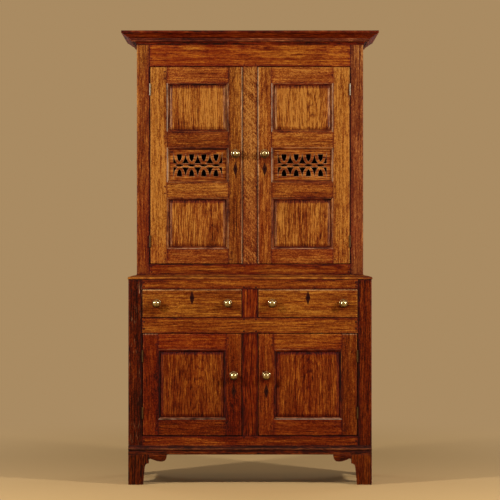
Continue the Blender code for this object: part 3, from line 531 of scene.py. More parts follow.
def joined(solids):
    """Several shapes as one."""
    whole = solids[0]
    for solid in solids[1:]:
        start = len(whole.points)
        whole.faces += [[start + n for n in face] for face in solid.faces]
        for field in ("points", "wear", "dirt", "dry", "timber", "tone", "gold", "fleck"):
            setattr(whole, field, np.concatenate((getattr(whole, field), getattr(solid, field))))
    return whole


def add_object(name, data):
    added = bpy.data.objects.new(name, data)
    bpy.context.scene.collection.objects.link(added)
    return added


def make_piece(name, body, nodes, solid, finish, sharp=50):
    """A named piece that rides on a body and stands for the given nodes."""
    mesh = bpy.data.meshes.new(name)
    mesh.from_pydata([tuple(p) for p in solid.points], [], solid.faces)
    work = bmesh.new()
    work.from_mesh(mesh)
    bmesh.ops.recalc_face_normals(work, faces=work.faces)
    work.to_mesh(mesh)
    work.free()
    put_field(mesh, "timber", solid.timber)
    put_field(mesh, "finish", np.stack((solid.tone, solid.gold, solid.wear), axis=1))
    put_field(mesh, "state", np.stack((solid.dry, solid.fleck, solid.dirt), axis=1))
    mesh.shade_smooth()
    mesh.set_sharp_from_angle(angle=math.radians(sharp))
    mesh.materials.append(FINISHES[finish])
    piece = add_object(name, mesh)
    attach(piece, body)
    if nodes:
        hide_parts(*nodes)


def put_field(mesh, name, values):
    field = mesh.attributes.new(name, "FLOAT_VECTOR", "POINT")
    field.data.foreach_set("vector", values.astype(np.float32).ravel())


def rounding(radius):
    """A quarter round: how far in and how deep each of its points is, from the outer end."""
    turns = [math.radians(degrees) for degrees in (0, 30, 60, 90)]
    return [(radius * (1 - math.cos(turn)), radius * (1 - math.sin(turn))) for turn in turns]


def round_edge(radius, wear=1.0, dirt=0.0, dry=0.0):
    """A rounded edge of a show face. A point is distance from the edge, depth, wear, darkening and dryness.
    """
    points = [(inset, deep, wear, dirt, dry) for inset, deep in rounding(radius)]
    points.append((max(WEAR_WIDE, radius * 1.5), 0, 0, 0, 0))
    return points


ARRIS = round_edge(0.0022)
# Edges painted pale along the arris: a painted highlight, full and faint
HIGHLIGHT_EDGE = round_edge(0.0022, dry=0.40)
FAINT_HIGHLIGHT_EDGE = round_edge(0.0022, dry=0.28)
PLAIN = round_edge(0.0022, wear=0.15)
SOFT = round_edge(0.0035)
SHARP = round_edge(0.0008, wear=0.1)
# Edges beside a gap, darkened into it: painted shade between the parts
GAP = round_edge(0.0016, wear=0.0, dirt=0.9)[:-1] + [(0.004, 0, 0, 0.35, 0), (SHADE_AND_GRIME_WIDE, 0, 0, 0, 0)]
JOINT = [(0, 0.0001, 0, 0.9, 0), (0.0008, 0, 0, 0.7, 0)]
JOINT += [(JOINT_WIDE, 0, 0, 0.25, 0), (SHADE_AND_GRIME_WIDE, 0, 0, 0, 0)]
FIELD_START = PANEL_HOLD + FIELD_LEDGE
FIELD_END = FIELD_START + FIELD_BEVEL


def field_edge(grime_and_shade, dry):
    """The bevel of a fielded panel, darkened in the recess and thinning out up to the field: soiling and
    painted shade. Its dryness greys the bevel as a painted sheen.
    """
    return [
        (0, FIELD_RAISE, 0, 1, 0),
        (FIELD_START, FIELD_RAISE, 0, 1, 0),
        (FIELD_START + 0.0016, FIELD_RAISE - 0.0006, 0, grime_and_shade, dry),
        (FIELD_END - 0.001, 0.0006, 0, grime_and_shade * 0.6, dry),
        (FIELD_END + 0.0006, 0, 0, grime_and_shade * 0.3, dry / 2),
        (FIELD_END + 0.004, 0, 0, 0, 0),
    ]


# The high edge is darkest, painted shade under the rail above; the side bevels of the upper panels get a
# painted pale sheen
FIELD = field_edge(grime_and_shade=0.2, dry=0.15)
FIELD_HEAD = field_edge(grime_and_shade=0.9, dry=0.0)
FIELD_DARK = field_edge(grime_and_shade=0.4, dry=0.0)

# Show face: its two axes, the axis of its depth, and whether depth runs up that axis
SHOWS = {
    "front": (X, Z, Y, 1),
    "back": (X, Z, Y, -1),
    "left": (Y, Z, X, 1),
    "right": (Y, Z, X, -1),
    "top": (X, Y, Z, -1),
}


def stations(length, first, last, cell):
    """The places of the grid lines across a board, with a line at each bend of its two edges."""
    places = [edge[0] for edge in first] + [length - edge[0] for edge in last]
    start = first[-1][0]
    end = length - last[-1][0]
    count = max(1, math.ceil((end - start) / cell))
    places += [start + (end - start) * n / count for n in range(count + 1)]
    places = sorted(min(max(place, 0), length) for place in places)
    kept = [places[0]]
    for place in places[1:]:
        if place - kept[-1] > SAME_PLACE:
            kept.append(place)
    return kept


def edge_values(edge, distance):
    """Depth, wear, darkening and dryness at a distance from an edge."""
    spots = [point[0] for point in edge]
    return [np.interp(distance, spots, [point[n] for point in edge]) for n in (1, 2, 3, 4)]


def plank(low, high, show, edges, cell=CELL, dry=(0.0, 1.0)):
    """A board between two corners. Its show face has an edge on its low and high side along each axis.
    dry is how dry the wood is on the show face and on the back; on some show faces it stands for a painted
    pale sheen."""
    first, second, depth, way = SHOWS[show]
    origin = low[depth] if way > 0 else high[depth]
    thick = high[depth] - low[depth]
    lengths = (high[first] - low[first], high[second] - low[second])
    across = stations(lengths[0], edges[0], edges[1], cell)
    up = stations(lengths[1], edges[2], edges[3], cell)
    spots = []

    def place(a, b, deep, *looks):
        point = [0.0, 0.0, 0.0]
        point[first] = low[first] + a
        point[second] = low[second] + b
        point[depth] = origin + way * deep
        spots.append((point, *looks))
        return len(spots) - 1

    grid = []
    for a in across:
        column = []
        for b in up:
            sides = (a, lengths[0] - a, b, lengths[1] - b)
            values = [edge_values(edge, side) for edge, side in zip(edges, sides)]
            deep, wear, dirt, dryness = np.max(values, axis=0)
            column.append(place(a, b, deep, wear, dirt, max(dry[0], dryness)))
        grid.append(column)
    faces = []
    last_a = len(across) - 1
    last_b = len(up) - 1
    for n in range(last_a):
        for m in range(last_b):
            faces.append((grid[n][m], grid[n + 1][m], grid[n + 1][m + 1], grid[n][m + 1]))
    border = [(n, 0) for n in range(last_a)] + [(last_a, m) for m in range(last_b)]
    border += [(n, last_b) for n in range(last_a, 0, -1)] + [(0, m) for m in range(last_b, 0, -1)]
    rim = [grid[n][m] for n, m in border]
    for deep, inset in ((thick - BACK_ROUND, 0), (thick, BACK_ROUND)):
        loop = []
        for n, m in border:
            a = min(max(across[n], inset), lengths[0] - inset)
            b = min(max(up[m], inset), lengths[1] - inset)
            loop.append(place(a, b, deep, BACK_WEAR, 0.0, dry[1]))
        faces += band(rim, loop)
        rim = loop
    faces.append(rim)
    return Solid(spots, faces)


def band(ring, following):
    """The faces between two rings of as many points."""
    return list(zip(ring, ring[1:] + ring[:1], following[1:] + following[:1], following))


def lofted(rings):
    """A closed shape through rings of spots."""
    count = len(rings[0])
    rows = [list(range(n * count, (n + 1) * count)) for n in range(len(rings))]
    faces = [rows[0], rows[-1]]
    for row, following in zip(rows, rows[1:]):
        faces += band(row, following)
    return Solid([spot for ring in rings for spot in ring], faces)


def moulded_length(profile, start, end, rows, crest_highlight):
    """A closed length of moulding. A profile point is out, up, wear and darkening; start and end place one.
    Worn places are painted pale by the given share: a painted highlight along the crests."""
    rings = []
    for row in range(rows + 1):
        ring = []
        for out, up, wear, dirt in profile:
            place = Vector(start(out, up)).lerp(Vector(end(out, up)), row / rows)
            ring.append((tuple(place), wear, dirt, crest_highlight * wear))
        rings.append(ring)
    return lofted(rings)


def curve(start, pull, end, steps=6):
    """Points of a smooth curve from start to end, drawn towards a pull point, without its first point."""
    points = []
    for n in range(1, steps + 1):
        t = n / steps
        weights = ((1 - t) ** 2, 2 * t * (1 - t), t**2)
        places = zip(start, pull, end)
        points.append(tuple(sum(w * c for w, c in zip(weights, three)) for three in places))
    return points


def swept(start, pull, end, wear, dirt, steps=6):
    """A smooth curve as points of a moulding's profile."""
    return [(*spot, wear, dirt) for spot in curve(start, pull, end, steps)]


def inset_outline(outline, distance):
    """An outline, drawn anticlockwise, moved inwards by a distance."""
    moved = []
    count = len(outline)
    for n in range(count):
        before = Vector(outline[n - 1])
        here = Vector(outline[n])
        after = Vector(outline[(n + 1) % count])
        run_in = (here - before).normalized()
        run_out = (after - here).normalized()
        normal_in = Vector((-run_in.y, run_in.x))
        normal_out = Vector((-run_out.y, run_out.x))
        middle = normal_in + normal_out
        scale = distance / max(MITRE_LEAST, middle.length_squared / 2)
        moved.append(tuple(here + middle * scale))
    return moved


def anticlockwise(outline):
    area = sum(a[0] * b[1] - b[0] * a[1] for a, b in zip(outline, outline[1:] + outline[:1]))
    return outline if area > 0 else outline[::-1]


def plate(outline, axis, low, high, radius, wear_wide, dry=(0.0, 0.0)):
    """An outline drawn out along an axis, with rounded edges. dry is for its low and high face."""
    outline = anticlockwise(list(outline))
    rows = [(low, wear_wide, 0.0, dry[0])]
    rows += [(low + deep, inset, 1.0, dry[0]) for deep, inset in rounding(radius)]
    rows += [(low + high - place, inset, wear, dry[1]) for place, inset, wear, _ in rows[::-1]]
    rings = []
    for place, inset, wear, dryness in rows:
        ring = []
        for spot in inset_outline(outline, inset):
            point = list(spot)
            point.insert(axis, place)
            ring.append((point, wear, 0.0, dryness))
        rings.append(ring)
    return lofted(rings)


def turned(centre, profile, sides=40):
    """A shape turned about a line along Y: a profile of radius, place along it and darkening, from end to
    end.
    """
    spots = []
    rows = []
    for radius, along, grime_and_shade in profile:
        row = []
        for n in range(sides if radius else 1):
            turn = math.tau * n / sides
            row.append(len(spots))
            point = (centre[0] + radius * math.cos(turn), along, centre[1] + radius * math.sin(turn))
            spots.append((point, 0.0, grime_and_shade, 0.0))
        rows.append(row if radius else row * sides)
    faces = []
    for row, following in zip(rows, rows[1:]):
        faces += [dict.fromkeys(face) for face in band(row, following)]
    return Solid(spots, faces)


def boarded(name, node, low, high, show, tone, finish, grain, edges, fleck=0.0, body="case", **more):
    """One board as a piece of its own."""
    solid = plank(low, high, show, edges, **more).cut(name, tone, grain, fleck)
    make_piece(name, body, [node], solid, finish)


def inside_board(name, node, low, high, show, grain, edges, dry=(1.0, 1.0), **more):
    """A board of oak that was never polished."""
    boarded(name, node, low, high, show, "dry", "inside_oak", grain, edges, cell=BIG_CELL, dry=dry, **more)


def rail_pegs(columns, spans, shares):
    """Where a frame's pegs are: in two columns, at shares of the height of each rail."""
    spots = []
    for foot, head in spans:
        spots += [(x, foot + (head - foot) * share) for share in shares for x in columns]
    return spots


def make_pegs(name, body, node, spots, front, tone):
    """The heads of the pegs that hold the tenons, at places across and up the front."""
    deep = front + PEG_DEEP
    profile = [(0, deep, 0), (PEG_RADIUS, deep, 0.8), (PEG_RADIUS, front, 0.8)]
    profile += [(PEG_RADIUS * 0.8, front - PEG_PROUD * 0.8, 0.2), (0, front - PEG_PROUD, 0.1)]
    solids = [turned(spot, profile, PEG_SIDES).cut(f"{name} {n}", tone, Y) for n, spot in enumerate(spots)]
    make_piece(name, body, [node], joined(solids), "red_oak")


# Boards of the face frames: tone, finish, fleck, and dryness of the show face, which on the upper stiles and
# muntin stands for a painted pale sheen
FRAME_BOARDS = {
    "upper_left_stile": ("fawn", "red_oak", 0.4, 0.04),
    "upper_right_stile": ("oat", "red_oak", 0.4, 0.12),
    "upper_bottom_rail": ("copper", "red_oak", 0.2, 0.0),
    "frieze_rail": ("rust", "red_oak", 0.2, 0.0),
    "upper_muntin": ("flecked", "honey_oak", 0.9, 0.04),
    "lower_left_stile": ("coal", "dark_oak", 2.0, 0.0),
    "lower_right_stile": ("cocoa", "dark_oak", 0.3, 0.0),
    "lower_bottom_rail": ("liver", "red_oak", 0.4, 0.0),
    "drawer_rail": ("toffee", "red_oak", 0.4, 0.0),
    "lower_top_rail": ("fawn", "red_oak", 0.4, 0.0),
    "door_muntin": ("mahogany", "dark_oak", 0.0, 0.0),
    "drawer_muntin": ("brick", "red_oak", 0.0, 0.0),
}


def make_face_frame(stage, rails, muntins, levels, shares, muntin_peg, peg_tone):
    """The face frame of a stage: two stiles, the rails from the lowest up, and the muntins between them.
    levels are the foot and head of each row of openings, and muntin_peg is how far in a muntin's pegs are."""
    node = f"{stage}_face_frame"
    low, high = corners_of(node)
    door_low, door_high = corners_of(f"{stage}_left_door_frame")
    edge = door_low[0] - HINGE_GAP
    muntin = door_high[0] + DOOR_GAP
    heights = [low[2], *levels, high[2]]

    def board(name, start, end, span, grain, edges):
        tone, finish, fleck, dry = FRAME_BOARDS[name]
        corners = ((start, low[1], span[0]), (end, high[1], span[1]))
        boarded(name, node, *corners, "front", tone, finish, grain, edges, fleck, dry=(dry, 1.0))

    board(f"{stage}_left_stile", low[0], edge, (low[2], high[2]), Z, (SOFT, GAP, JOINT, JOINT))
    board(f"{stage}_right_stile", -edge, high[0], (low[2], high[2]), Z, (GAP, SOFT, JOINT, JOINT))
    spans = list(zip(heights[::2], heights[1::2]))
    for n, rail in enumerate(rails):
        edges = (JOINT, JOINT, GAP if n else JOINT, JOINT if rail == rails[-1] else GAP)
        board(rail, edge, -edge, spans[n], X, edges)
    for n, name in enumerate(muntins):
        board(name, muntin, -muntin, heights[2 * n + 1:2 * n + 3], Z, (GAP, GAP, JOINT, JOINT))
    spots = rail_pegs((edge + PEG_INSET, -edge - PEG_INSET), spans, shares)
    for n, level in enumerate(levels):
        height = level + PEG_INSET if n % 2 else level - PEG_INSET
        spots += [(muntin + muntin_peg, height), (-muntin - muntin_peg, height)]
    make_pegs(f"{stage}_frame_pegs", "case", node, spots, low[1], peg_tone)


def make_face_frames():
    """Both face frames, with openings round the doors and drawers."""
    levels = {}
    for stage in ("upper", "lower"):
        low, high = corners_of(f"{stage}_left_door_frame")
        levels[stage] = [low[2] - DOOR_GAP, high[2] + DOOR_GAP]
    low, high = corners_of("left_drawer_front")
    levels["lower"] += [low[2] - DRAWER_GAP, high[2] + DRAWER_GAP]
    make_face_frame("upper", ("upper_bottom_rail", "frieze_rail"), ("upper_muntin",), levels["upper"],
                    shares=(0.25, 0.75), muntin_peg=0.007, peg_tone="mahogany")
    make_face_frame("lower", ("lower_bottom_rail", "drawer_rail", "lower_top_rail"),
                    ("door_muntin", "drawer_muntin"), levels["lower"],
                    shares=PEG_SHARES, muntin_peg=0.009, peg_tone="coal")


def grown(low, high, reach):
    """A rectangle's corners across X and Z moved out by a reach."""
    return (low[0] - reach, low[1] - reach), (high[0] + reach, high[1] + reach)


def ovolo_profile(front, back, grime_and_shade, worn, fillet_worn):
    """The moulded inner edge of a door frame: distance from the sight edge, then depth, wear and darkening.
    The quirk and the sight edge are darkened fully, painted shade in the creases.
    """
    wide = OVOLO_WIDE
    nose = wide - OVOLO_FILLET
    points = [(wide, front, fillet_worn, 0), (nose + 0.0004, front + 0.0002, fillet_worn, 0)]
    points += [(nose, front + OVOLO_QUIRK, 0, 1)]
    for n in range(1, OVOLO_STEPS + 1):
        turn = math.pi / 2 * (1 - n / OVOLO_STEPS)
        depth = OVOLO_DEEP - (OVOLO_DEEP - OVOLO_QUIRK) * math.sin(turn)
        reach = nose * (1 - math.cos(turn))
        rub = worn if reach > nose * 0.35 else 0
        points.append((reach, front + depth, rub, 1 if n == OVOLO_STEPS else grime_and_shade))
    groove = front + GROOVE_FRONT
    groove_back = groove + GROOVE_WIDE
    points += [(0, groove, 0, 0.8), (GROOVE_DEEP, groove, 0, 0.8), (GROOVE_DEEP, groove_back, 0, 0.8)]
    points += [(0, groove_back, 0, 0.5), (0, back, 0, 0), (wide, back, 0, 0)]
    return points


# Mouldings on the left, right, low and high side of a panel: darkening (soiling and painted shade, most on
# the high side under the rail), wear that is also painted pale as a highlight, and wear of the fillet
UPPER_EDGES = ((0.30, 0.35, 1.0), (0.25, 0.35, 0.7), (0.45, 0.0, 0.1), (0.75, 0.0, 0.15))
MOULDING_EDGES = {
    "bottom_panel": ((0.45, 0.12, 0.4), (0.45, 0.12, 0.3), (0.35, 0.2, 0.5), (0.75, 0.0, 0.15)),
    "fret_panel": UPPER_EDGES,
    "top_panel": UPPER_EDGES,
    "panel": ((0.85, 0.0, 0.0), (0.85, 0.0, 0.0), (0.15, 0.6, 1.0), (0.80, 0.0, 0.2)),
}
MOULDING_ROWS = 12
LONG_ROWS = 60


def make_moulding(name, body, node, sight_low, sight_high, front, back, tones, edges, finish):
    """Four mitred lengths of ovolo round an opening, each with its tone and edge."""
    (x0, z0), (x1, z1) = sight_low, sight_high
    corners = {
        "low_left": lambda out, y: (x0 - out, y, z0 - out),
        "low_right": lambda out, y: (x1 + out, y, z0 - out),
        "high_left": lambda out, y: (x0 - out, y, z1 + out),
        "high_right": lambda out, y: (x1 + out, y, z1 + out),
    }
    runs = (
        ("left", Z, "low_left", "high_left"),
        ("right", Z, "low_right", "high_right"),
        ("low", X, "low_left", "low_right"),
        ("high", X, "high_left", "high_right"),
    )
    solids = []
    for (place, grain, start, end), tone, edge in zip(runs, tones, edges):
        profile = ovolo_profile(front, back, *edge)
        solid = moulded_length(profile, corners[start], corners[end], MOULDING_ROWS, crest_highlight=0.75)
        solid.cut(f"{name} {place}", tone, grain)
        solid.dry[solid.points[:, 1] > back - FIT] = DOOR_BACK_DRY
        solids.append(solid)
    make_piece(name, body, [node], joined(solids), finish, sharp=40)


# Where the heart of the log lies behind each panel, as a share of its width, and how much it leans
HEARTS = {
    "upper_left_door_top_panel": (-0.95, 0.03),
    "upper_left_door_bottom_panel": (0.28, 0.12),
    "upper_right_door_top_panel": (0.14, -0.15),
    "upper_right_door_bottom_panel": (0.40, 0.10),
    "lower_left_door_panel": (0.08, 0.15),
    "lower_right_door_panel": (-0.02, 0.17),
}


def make_panel(name, body, tone, finish):
    """A fielded panel, with its grain upright."""
    low, high = corners_of(name)
    side = FIELD if name.startswith("upper") else FIELD_DARK
    heart, tilt = HEARTS[name]
    # Its high edge takes the darkest bevel: painted shade under the rail above
    solid = plank(low, high, "front", (side, side, FIELD_DARK, FIELD_HEAD), dry=(0.0, DOOR_BACK_DRY))
    solid.cut(name, tone, Z, fleck=0.15, tilt=tilt, heart=heart)
    make_piece(f"{name}_board", body, [name], solid, finish, sharp=30)


# Rails and panels of a door in each stage, from the lowest up
RAILS = {"upper": ("base_rail", "low_rail", "high_rail", "top_rail"), "lower": ("base_rail", "top_rail")}
PANELS = {"upper": ("bottom_panel", "fret_panel", "top_panel"), "lower": ("panel",)}


def make_door(name, tones, finish):
    """A joined door: stiles, rails, mouldings and panels. tones are those of its boards by name."""
    stage = name.split("_")[0]
    is_upper = stage == "upper"
    node = f"{name}_frame"
    low, high = corners_of(node)
    front, back = low[1], high[1]
    look = {"body": name, "dry": (0.0, DOOR_BACK_DRY)}
    sights = []
    for kind in PANELS[stage]:
        panel_low, panel_high = corners_of(f"{name}_{kind}")
        sights.append(grown((panel_low[0], panel_low[2]), (panel_high[0], panel_high[2]), -PANEL_HOLD))
    openings = [grown(*sight, OVOLO_WIDE) for sight in sights]
    inner = (openings[0][0][0], openings[0][1][0])

    # Stiles, each with its outer edge and top edge
    edges = {"hinge_stile": (ARRIS, HIGHLIGHT_EDGE), "lock_stile": (ARRIS, ARRIS)}
    if is_upper:
        edges = {"hinge_stile": (ARRIS, ARRIS), "lock_stile": (HIGHLIGHT_EDGE, ARRIS)}
    left, right = edges if "left" in name else reversed(edges)
    stiles = {
        left: (low, (inner[0], back, high[2]), (edges[left][0], JOINT, ARRIS, edges[left][1])),
        right: ((inner[1], front, low[2]), high, (JOINT, edges[right][0], ARRIS, edges[right][1])),
    }
    for stile, (start, end, sides) in stiles.items():
        boarded(f"{name}_{stile}", node, start, end, "front", tones[stile], finish, Z, sides,
                fleck=0.45, **look)

    # Rails
    levels = [low[2]]
    for opening in openings:
        levels += [opening[0][1], opening[1][1]]
    levels.append(high[2])
    spans = list(zip(levels[::2], levels[1::2]))
    rails = RAILS[stage]
    for rail, (foot, head) in zip(rails, spans):
        sides = (JOINT, JOINT, ARRIS if rail == rails[0] else JOINT, ARRIS if rail == rails[-1] else JOINT)
        boarded(f"{name}_{rail}", node, (inner[0], front, foot), (inner[1], back, head), "front", tones[rail],
                finish, X, sides, fleck=0.55, **look)

    # Mouldings, panels and pegs
    for n, (kind, sight) in enumerate(zip(PANELS[stage], sights)):
        panel = f"{name}_{kind}"
        run_tones = [tones[board] for board in (left, right, rails[n], rails[n + 1])]
        make_moulding(f"{panel}_moulding", name, node, *sight, front, back, run_tones,
                      MOULDING_EDGES[kind], finish)
        if kind == "fret_panel":
            make_fret(panel, name, sight, tones[kind], finish)
        else:
            make_panel(panel, name, tones[kind], finish)
    spots = rail_pegs((inner[0] - PEG_INSET, inner[1] + PEG_INSET), spans, PEG_SHARES)
    make_pegs(f"{name}_pegs", name, node, spots, front, tones["high_rail" if is_upper else "hinge_stile"])


# The pierced panel: sizes from its middle line
FRET_COLUMNS = 4
FRET_PITCH = 0.053
SHIELD_WIDE = 0.0215
SHIELD_TOP = 0.0477
SHIELD_TIP = 0.017
DART_WIDE = 0.032
DART_FOOT = 0.009
DART_APEX = 0.0465
LENS_LONG = 0.035
LENS_HIGH = 0.0096
FRET_SOFT = 0.0020
FRET_DROP = 0.0015
# How pale the softened front edges of the fret are painted: partly wear, partly a painted highlight
FRET_EDGE_HIGHLIGHT = 0.45
FRET_WELD = 0.00002


def fret_holes(middle):
    """The outlines of the holes: shields in columns, darts between them and lenses on the middle line."""
    half = SHIELD_WIDE / 2
    pull = SHIELD_TIP + (SHIELD_TOP - SHIELD_TIP) / 4
    shield = [(half, SHIELD_TOP), (-half, SHIELD_TOP)]
    shield += curve(shield[-1], (-half, pull), (0, SHIELD_TIP))
    shield += curve(shield[-1], (half, pull), (half, SHIELD_TOP))[:-1]
    half = LENS_LONG / 2
    lens = [(-half, 0)]
    lens += curve(lens[0], (0, -LENS_HIGH), (half, 0))
    lens += curve(lens[-1], (0, LENS_HIGH), lens[0])[:-1]
    end = FRET_COLUMNS * FRET_PITCH / 2
    holes = []
    for column in range(FRET_COLUMNS):
        x = middle[0] - end + (column + 0.5) * FRET_PITCH
        for up in (-1, 1):
            holes.append([(x + a, middle[1] + up * b) for a, b in shield])
        holes.append([(x + a, middle[1] + b) for a, b in lens])
    for column in range(FRET_COLUMNS + 1):
        x = middle[0] - end + column * FRET_PITCH
        dart = dart_outline(column > 0, column < FRET_COLUMNS)
        for up in (-1, 1):
            holes.append([(x + a, middle[1] + up * b) for a, b in dart])
    return holes


def dart_outline(has_left, has_right):
    """An upward dart with hollow sides, or half of one at an end of the row."""
    half = DART_WIDE / 2
    apex = (0, DART_APEX)
    pull = DART_FOOT + (DART_APEX - DART_FOOT) / 4
    left = (-half, DART_FOOT) if has_left else (0, DART_FOOT)
    right = (half, DART_FOOT) if has_right else (0, DART_FOOT)
    outline = [left, right]
    outline += curve(right, (half / 3, pull), apex) if has_right else [apex]
    if has_left:
        outline += curve(apex, (-half / 3, pull), left)[:-1]
    return outline


def make_fret(node, body, sight, tone, finish):
    """The pierced panel: its outline and holes filled as a flat shape, drawn out with softened edges."""
    low, high = corners_of(node)
    middle = ((sight[0][0] + sight[1][0]) / 2, (sight[0][1] + sight[1][1]) / 2 - FRET_DROP)
    outline = [(low[0], low[2]), (high[0], low[2]), (high[0], high[2]), (low[0], high[2])]
    shape = bpy.data.curves.new(f"{node}_outline", "CURVE")
    shape.dimensions = "2D"
    shape.fill_mode = "BOTH"
    shape.extrude = (high[1] - low[1]) / 2 - FRET_SOFT
    shape.bevel_depth = FRET_SOFT
    shape.bevel_resolution = 1
    shape.offset = -FRET_SOFT
    for loop in [outline] + fret_holes(middle):
        line = shape.splines.new("POLY")
        line.points.add(len(loop) - 1)
        line.use_cyclic_u = True
        for point, (x, z) in zip(line.points, loop):
            point.co = (x, z, 0, 1)
    holder = add_object(shape.name, shape)
    depsgraph = bpy.context.evaluated_depsgraph_get()
    filled = bpy.data.meshes.new_from_object(holder.evaluated_get(depsgraph))
    bpy.data.objects.remove(holder)
    work = bmesh.new()
    work.from_mesh(filled)
    bmesh.ops.remove_doubles(work, verts=work.verts, dist=FRET_WELD)
    points = [(v.co.x, (low[1] + high[1]) / 2 - v.co.z, v.co.y) for v in work.verts]
    faces = [[v.index for v in face.verts] for face in work.faces]
    work.free()
    depths = np.array([point[1] - low[1] for point in points])
    is_back = depths > high[1] - low[1] - FRET_SOFT / 2
    is_wall = (depths > FRET_SOFT * 0.9) & ~is_back
    # The walls of the holes are darkened all over, painted shade inside the holes; the softened front edges
    # are painted pale, partly wear and partly a painted highlight
    worn = (depths > SAME_PLACE) & ~is_wall & ~is_back
    dry = worn * FRET_EDGE_HIGHLIGHT + is_back * DOOR_BACK_DRY
    solid = Solid(zip(points, worn, is_wall, dry), faces).cut(node, tone, X)
    make_piece(f"{node}_board", body, [node], solid, finish, sharp=35)


KNOB_ROSE = 0.0188
KNOB_NECK = 0.006
KNOB_UNDER_SHADE = 1.0  # of painted shade at the lowest point: the lower half of the knob is darker
KNOB_SWELL = 1.05  # of the turned ball over the solid's
KNOB_STEPS = 16
# The rose and neck of a knob: radius, how far out from the wood, and darkening: tarnish in the hollow by the
# neck, painted shade where the rose meets the wood
ROSE_LINE = (
    (0, 0, 1),
    (KNOB_ROSE, 0, 0.9),
    (KNOB_ROSE, 0.0010, 0.4),
    (KNOB_ROSE - 0.0006, 0.0019, 0.1),
    (KNOB_ROSE - 0.0016, 0.0025, 0.0),
    (KNOB_ROSE - 0.0034, 0.0027, 0.3),
    (KNOB_ROSE * 0.70, 0.0022, 0.8),
    (KNOB_NECK * 1.4, 0.0036, 0.9),
    (KNOB_NECK, 0.005, 0.9),
)


def knob_profile(front, reach, ball):
    """A turned brass knob: its rose, neck and ball, from the wood outwards. ball is its radius."""
    profile = [(radius, front - FIT - out, grime_and_shade) for radius, out, grime_and_shade in ROSE_LINE]
    centre = front - reach + ball
    start = math.pi - math.asin(KNOB_NECK / ball)
    for n in range(KNOB_STEPS):
        turn = start * (1 - n / KNOB_STEPS)
        # The ball darkens from its rim back to the neck: painted shade and a painted dark reflection of the
        # wood, with tarnish at the neck
        grime_and_shade = max(0, math.cos(math.pi - turn) + 0.40)
        profile.append((ball * math.sin(turn), centre - ball * math.cos(turn), grime_and_shade))
    profile.append((0, front - reach, 0))
    return profile


def make_knob(node, body, front):
    low, high = corners_of(node)
    centre = middle_of(node)
    ball = (high[0] - low[0]) / 2 * KNOB_SWELL
    solid = turned(centre, knob_profile(front, front - low[1], ball))
    # Darker towards the underside: painted shade on the lower half of the knob and its rose
    below = (centre[1] - solid.points[:, 2]) / ball
    solid.dirt = np.clip(solid.dirt + KNOB_UNDER_SHADE * np.maximum(0, below), 0, 1)
    make_piece(f"{node}_brass", body, [node], solid, "brass")


LOZENGE_WIDE = 0.021
LOZENGE_HIGH = 0.064
LOZENGE_PROUD = 0.0004
LOZENGE_DEEP = 0.002
KEYHOLE_RISE = 0.003
KEYHOLE_RADIUS = 0.0024
KEYHOLE_SLOT = 0.0013  # half its width
KEYHOLE_FOOT = 0.0061  # below the lozenge's middle
KEYHOLE_PROUD = 0.0006
KEYHOLE_DEEP = 0.001
DOOR_LOZENGE_DROP = 0.067
DRAWER_LOZENGE_RISE = 0.024


def make_escutcheon(name, body, x, z, front):
    """A lozenge let into the wood, with a keyhole in its middle."""
    half = LOZENGE_WIDE / 2
    tall = LOZENGE_HIGH / 2
    outline = [(x, z - tall), (x + half, z), (x, z + tall), (x - half, z)]
    solid = plate(outline, Y, front - LOZENGE_PROUD, front + LOZENGE_DEEP, radius=0.0002, wear_wide=0.0006)
    make_piece(name, body, [], solid, "ebony")
    hole = []
    for degrees in range(-50, 231, 20):
        turn = math.radians(degrees)
        hole.append((x + KEYHOLE_RADIUS * math.cos(turn), z + KEYHOLE_RISE + KEYHOLE_RADIUS * math.sin(turn)))
    hole += [(x - KEYHOLE_SLOT, z - KEYHOLE_FOOT), (x + KEYHOLE_SLOT, z - KEYHOLE_FOOT)]
    solid = plate(hole, Y, front - KEYHOLE_PROUD, front + KEYHOLE_DEEP, radius=0.00005, wear_wide=0.0002)
    # The keyhole is a near-black plate: painted shade for the hole
    solid.dirt[:] = 1.0
    make_piece(f"{name}_keyhole", body, [], solid, "ebony")


DOOR_TONES = {
    "upper_left_door": {
        "hinge_stile": "gold", "lock_stile": "tan", "base_rail": "chestnut", "low_rail": "nut",
        "high_rail": "umber", "top_rail": "copper", "bottom_panel": "toffee", "fret_panel": "copper",
        "top_panel": "honey",
    },
    "upper_right_door": {
        "hinge_stile": "wheat", "lock_stile": "toffee", "base_rail": "cedar", "low_rail": "fawn",
        "high_rail": "barley", "top_rail": "copper", "bottom_panel": "amber", "fret_panel": "copper",
        "top_panel": "honey",
    },
    "lower_left_door": {
        "hinge_stile": "mahogany", "lock_stile": "auburn", "base_rail": "sable", "top_rail": "brick",
        "panel": "chestnut",
    },
    "lower_right_door": {
        "hinge_stile": "walnut", "lock_stile": "auburn", "base_rail": "liver", "top_rail": "copper",
        "panel": "auburn",
    },
}


def make_doors():
    """All four doors with their knobs and escutcheons."""
    for name, tones in DOOR_TONES.items():
        make_door(name, tones, "honey_oak" if name.startswith("upper") else "red_oak")
        front = corners_of(f"{name}_frame")[0][1]
        make_knob(f"{name}_knob", name, front)
        x, z = middle_of(f"{name}_knob")
        make_escutcheon(f"{name}_escutcheon", name, x, z - DOOR_LOZENGE_DROP, front)


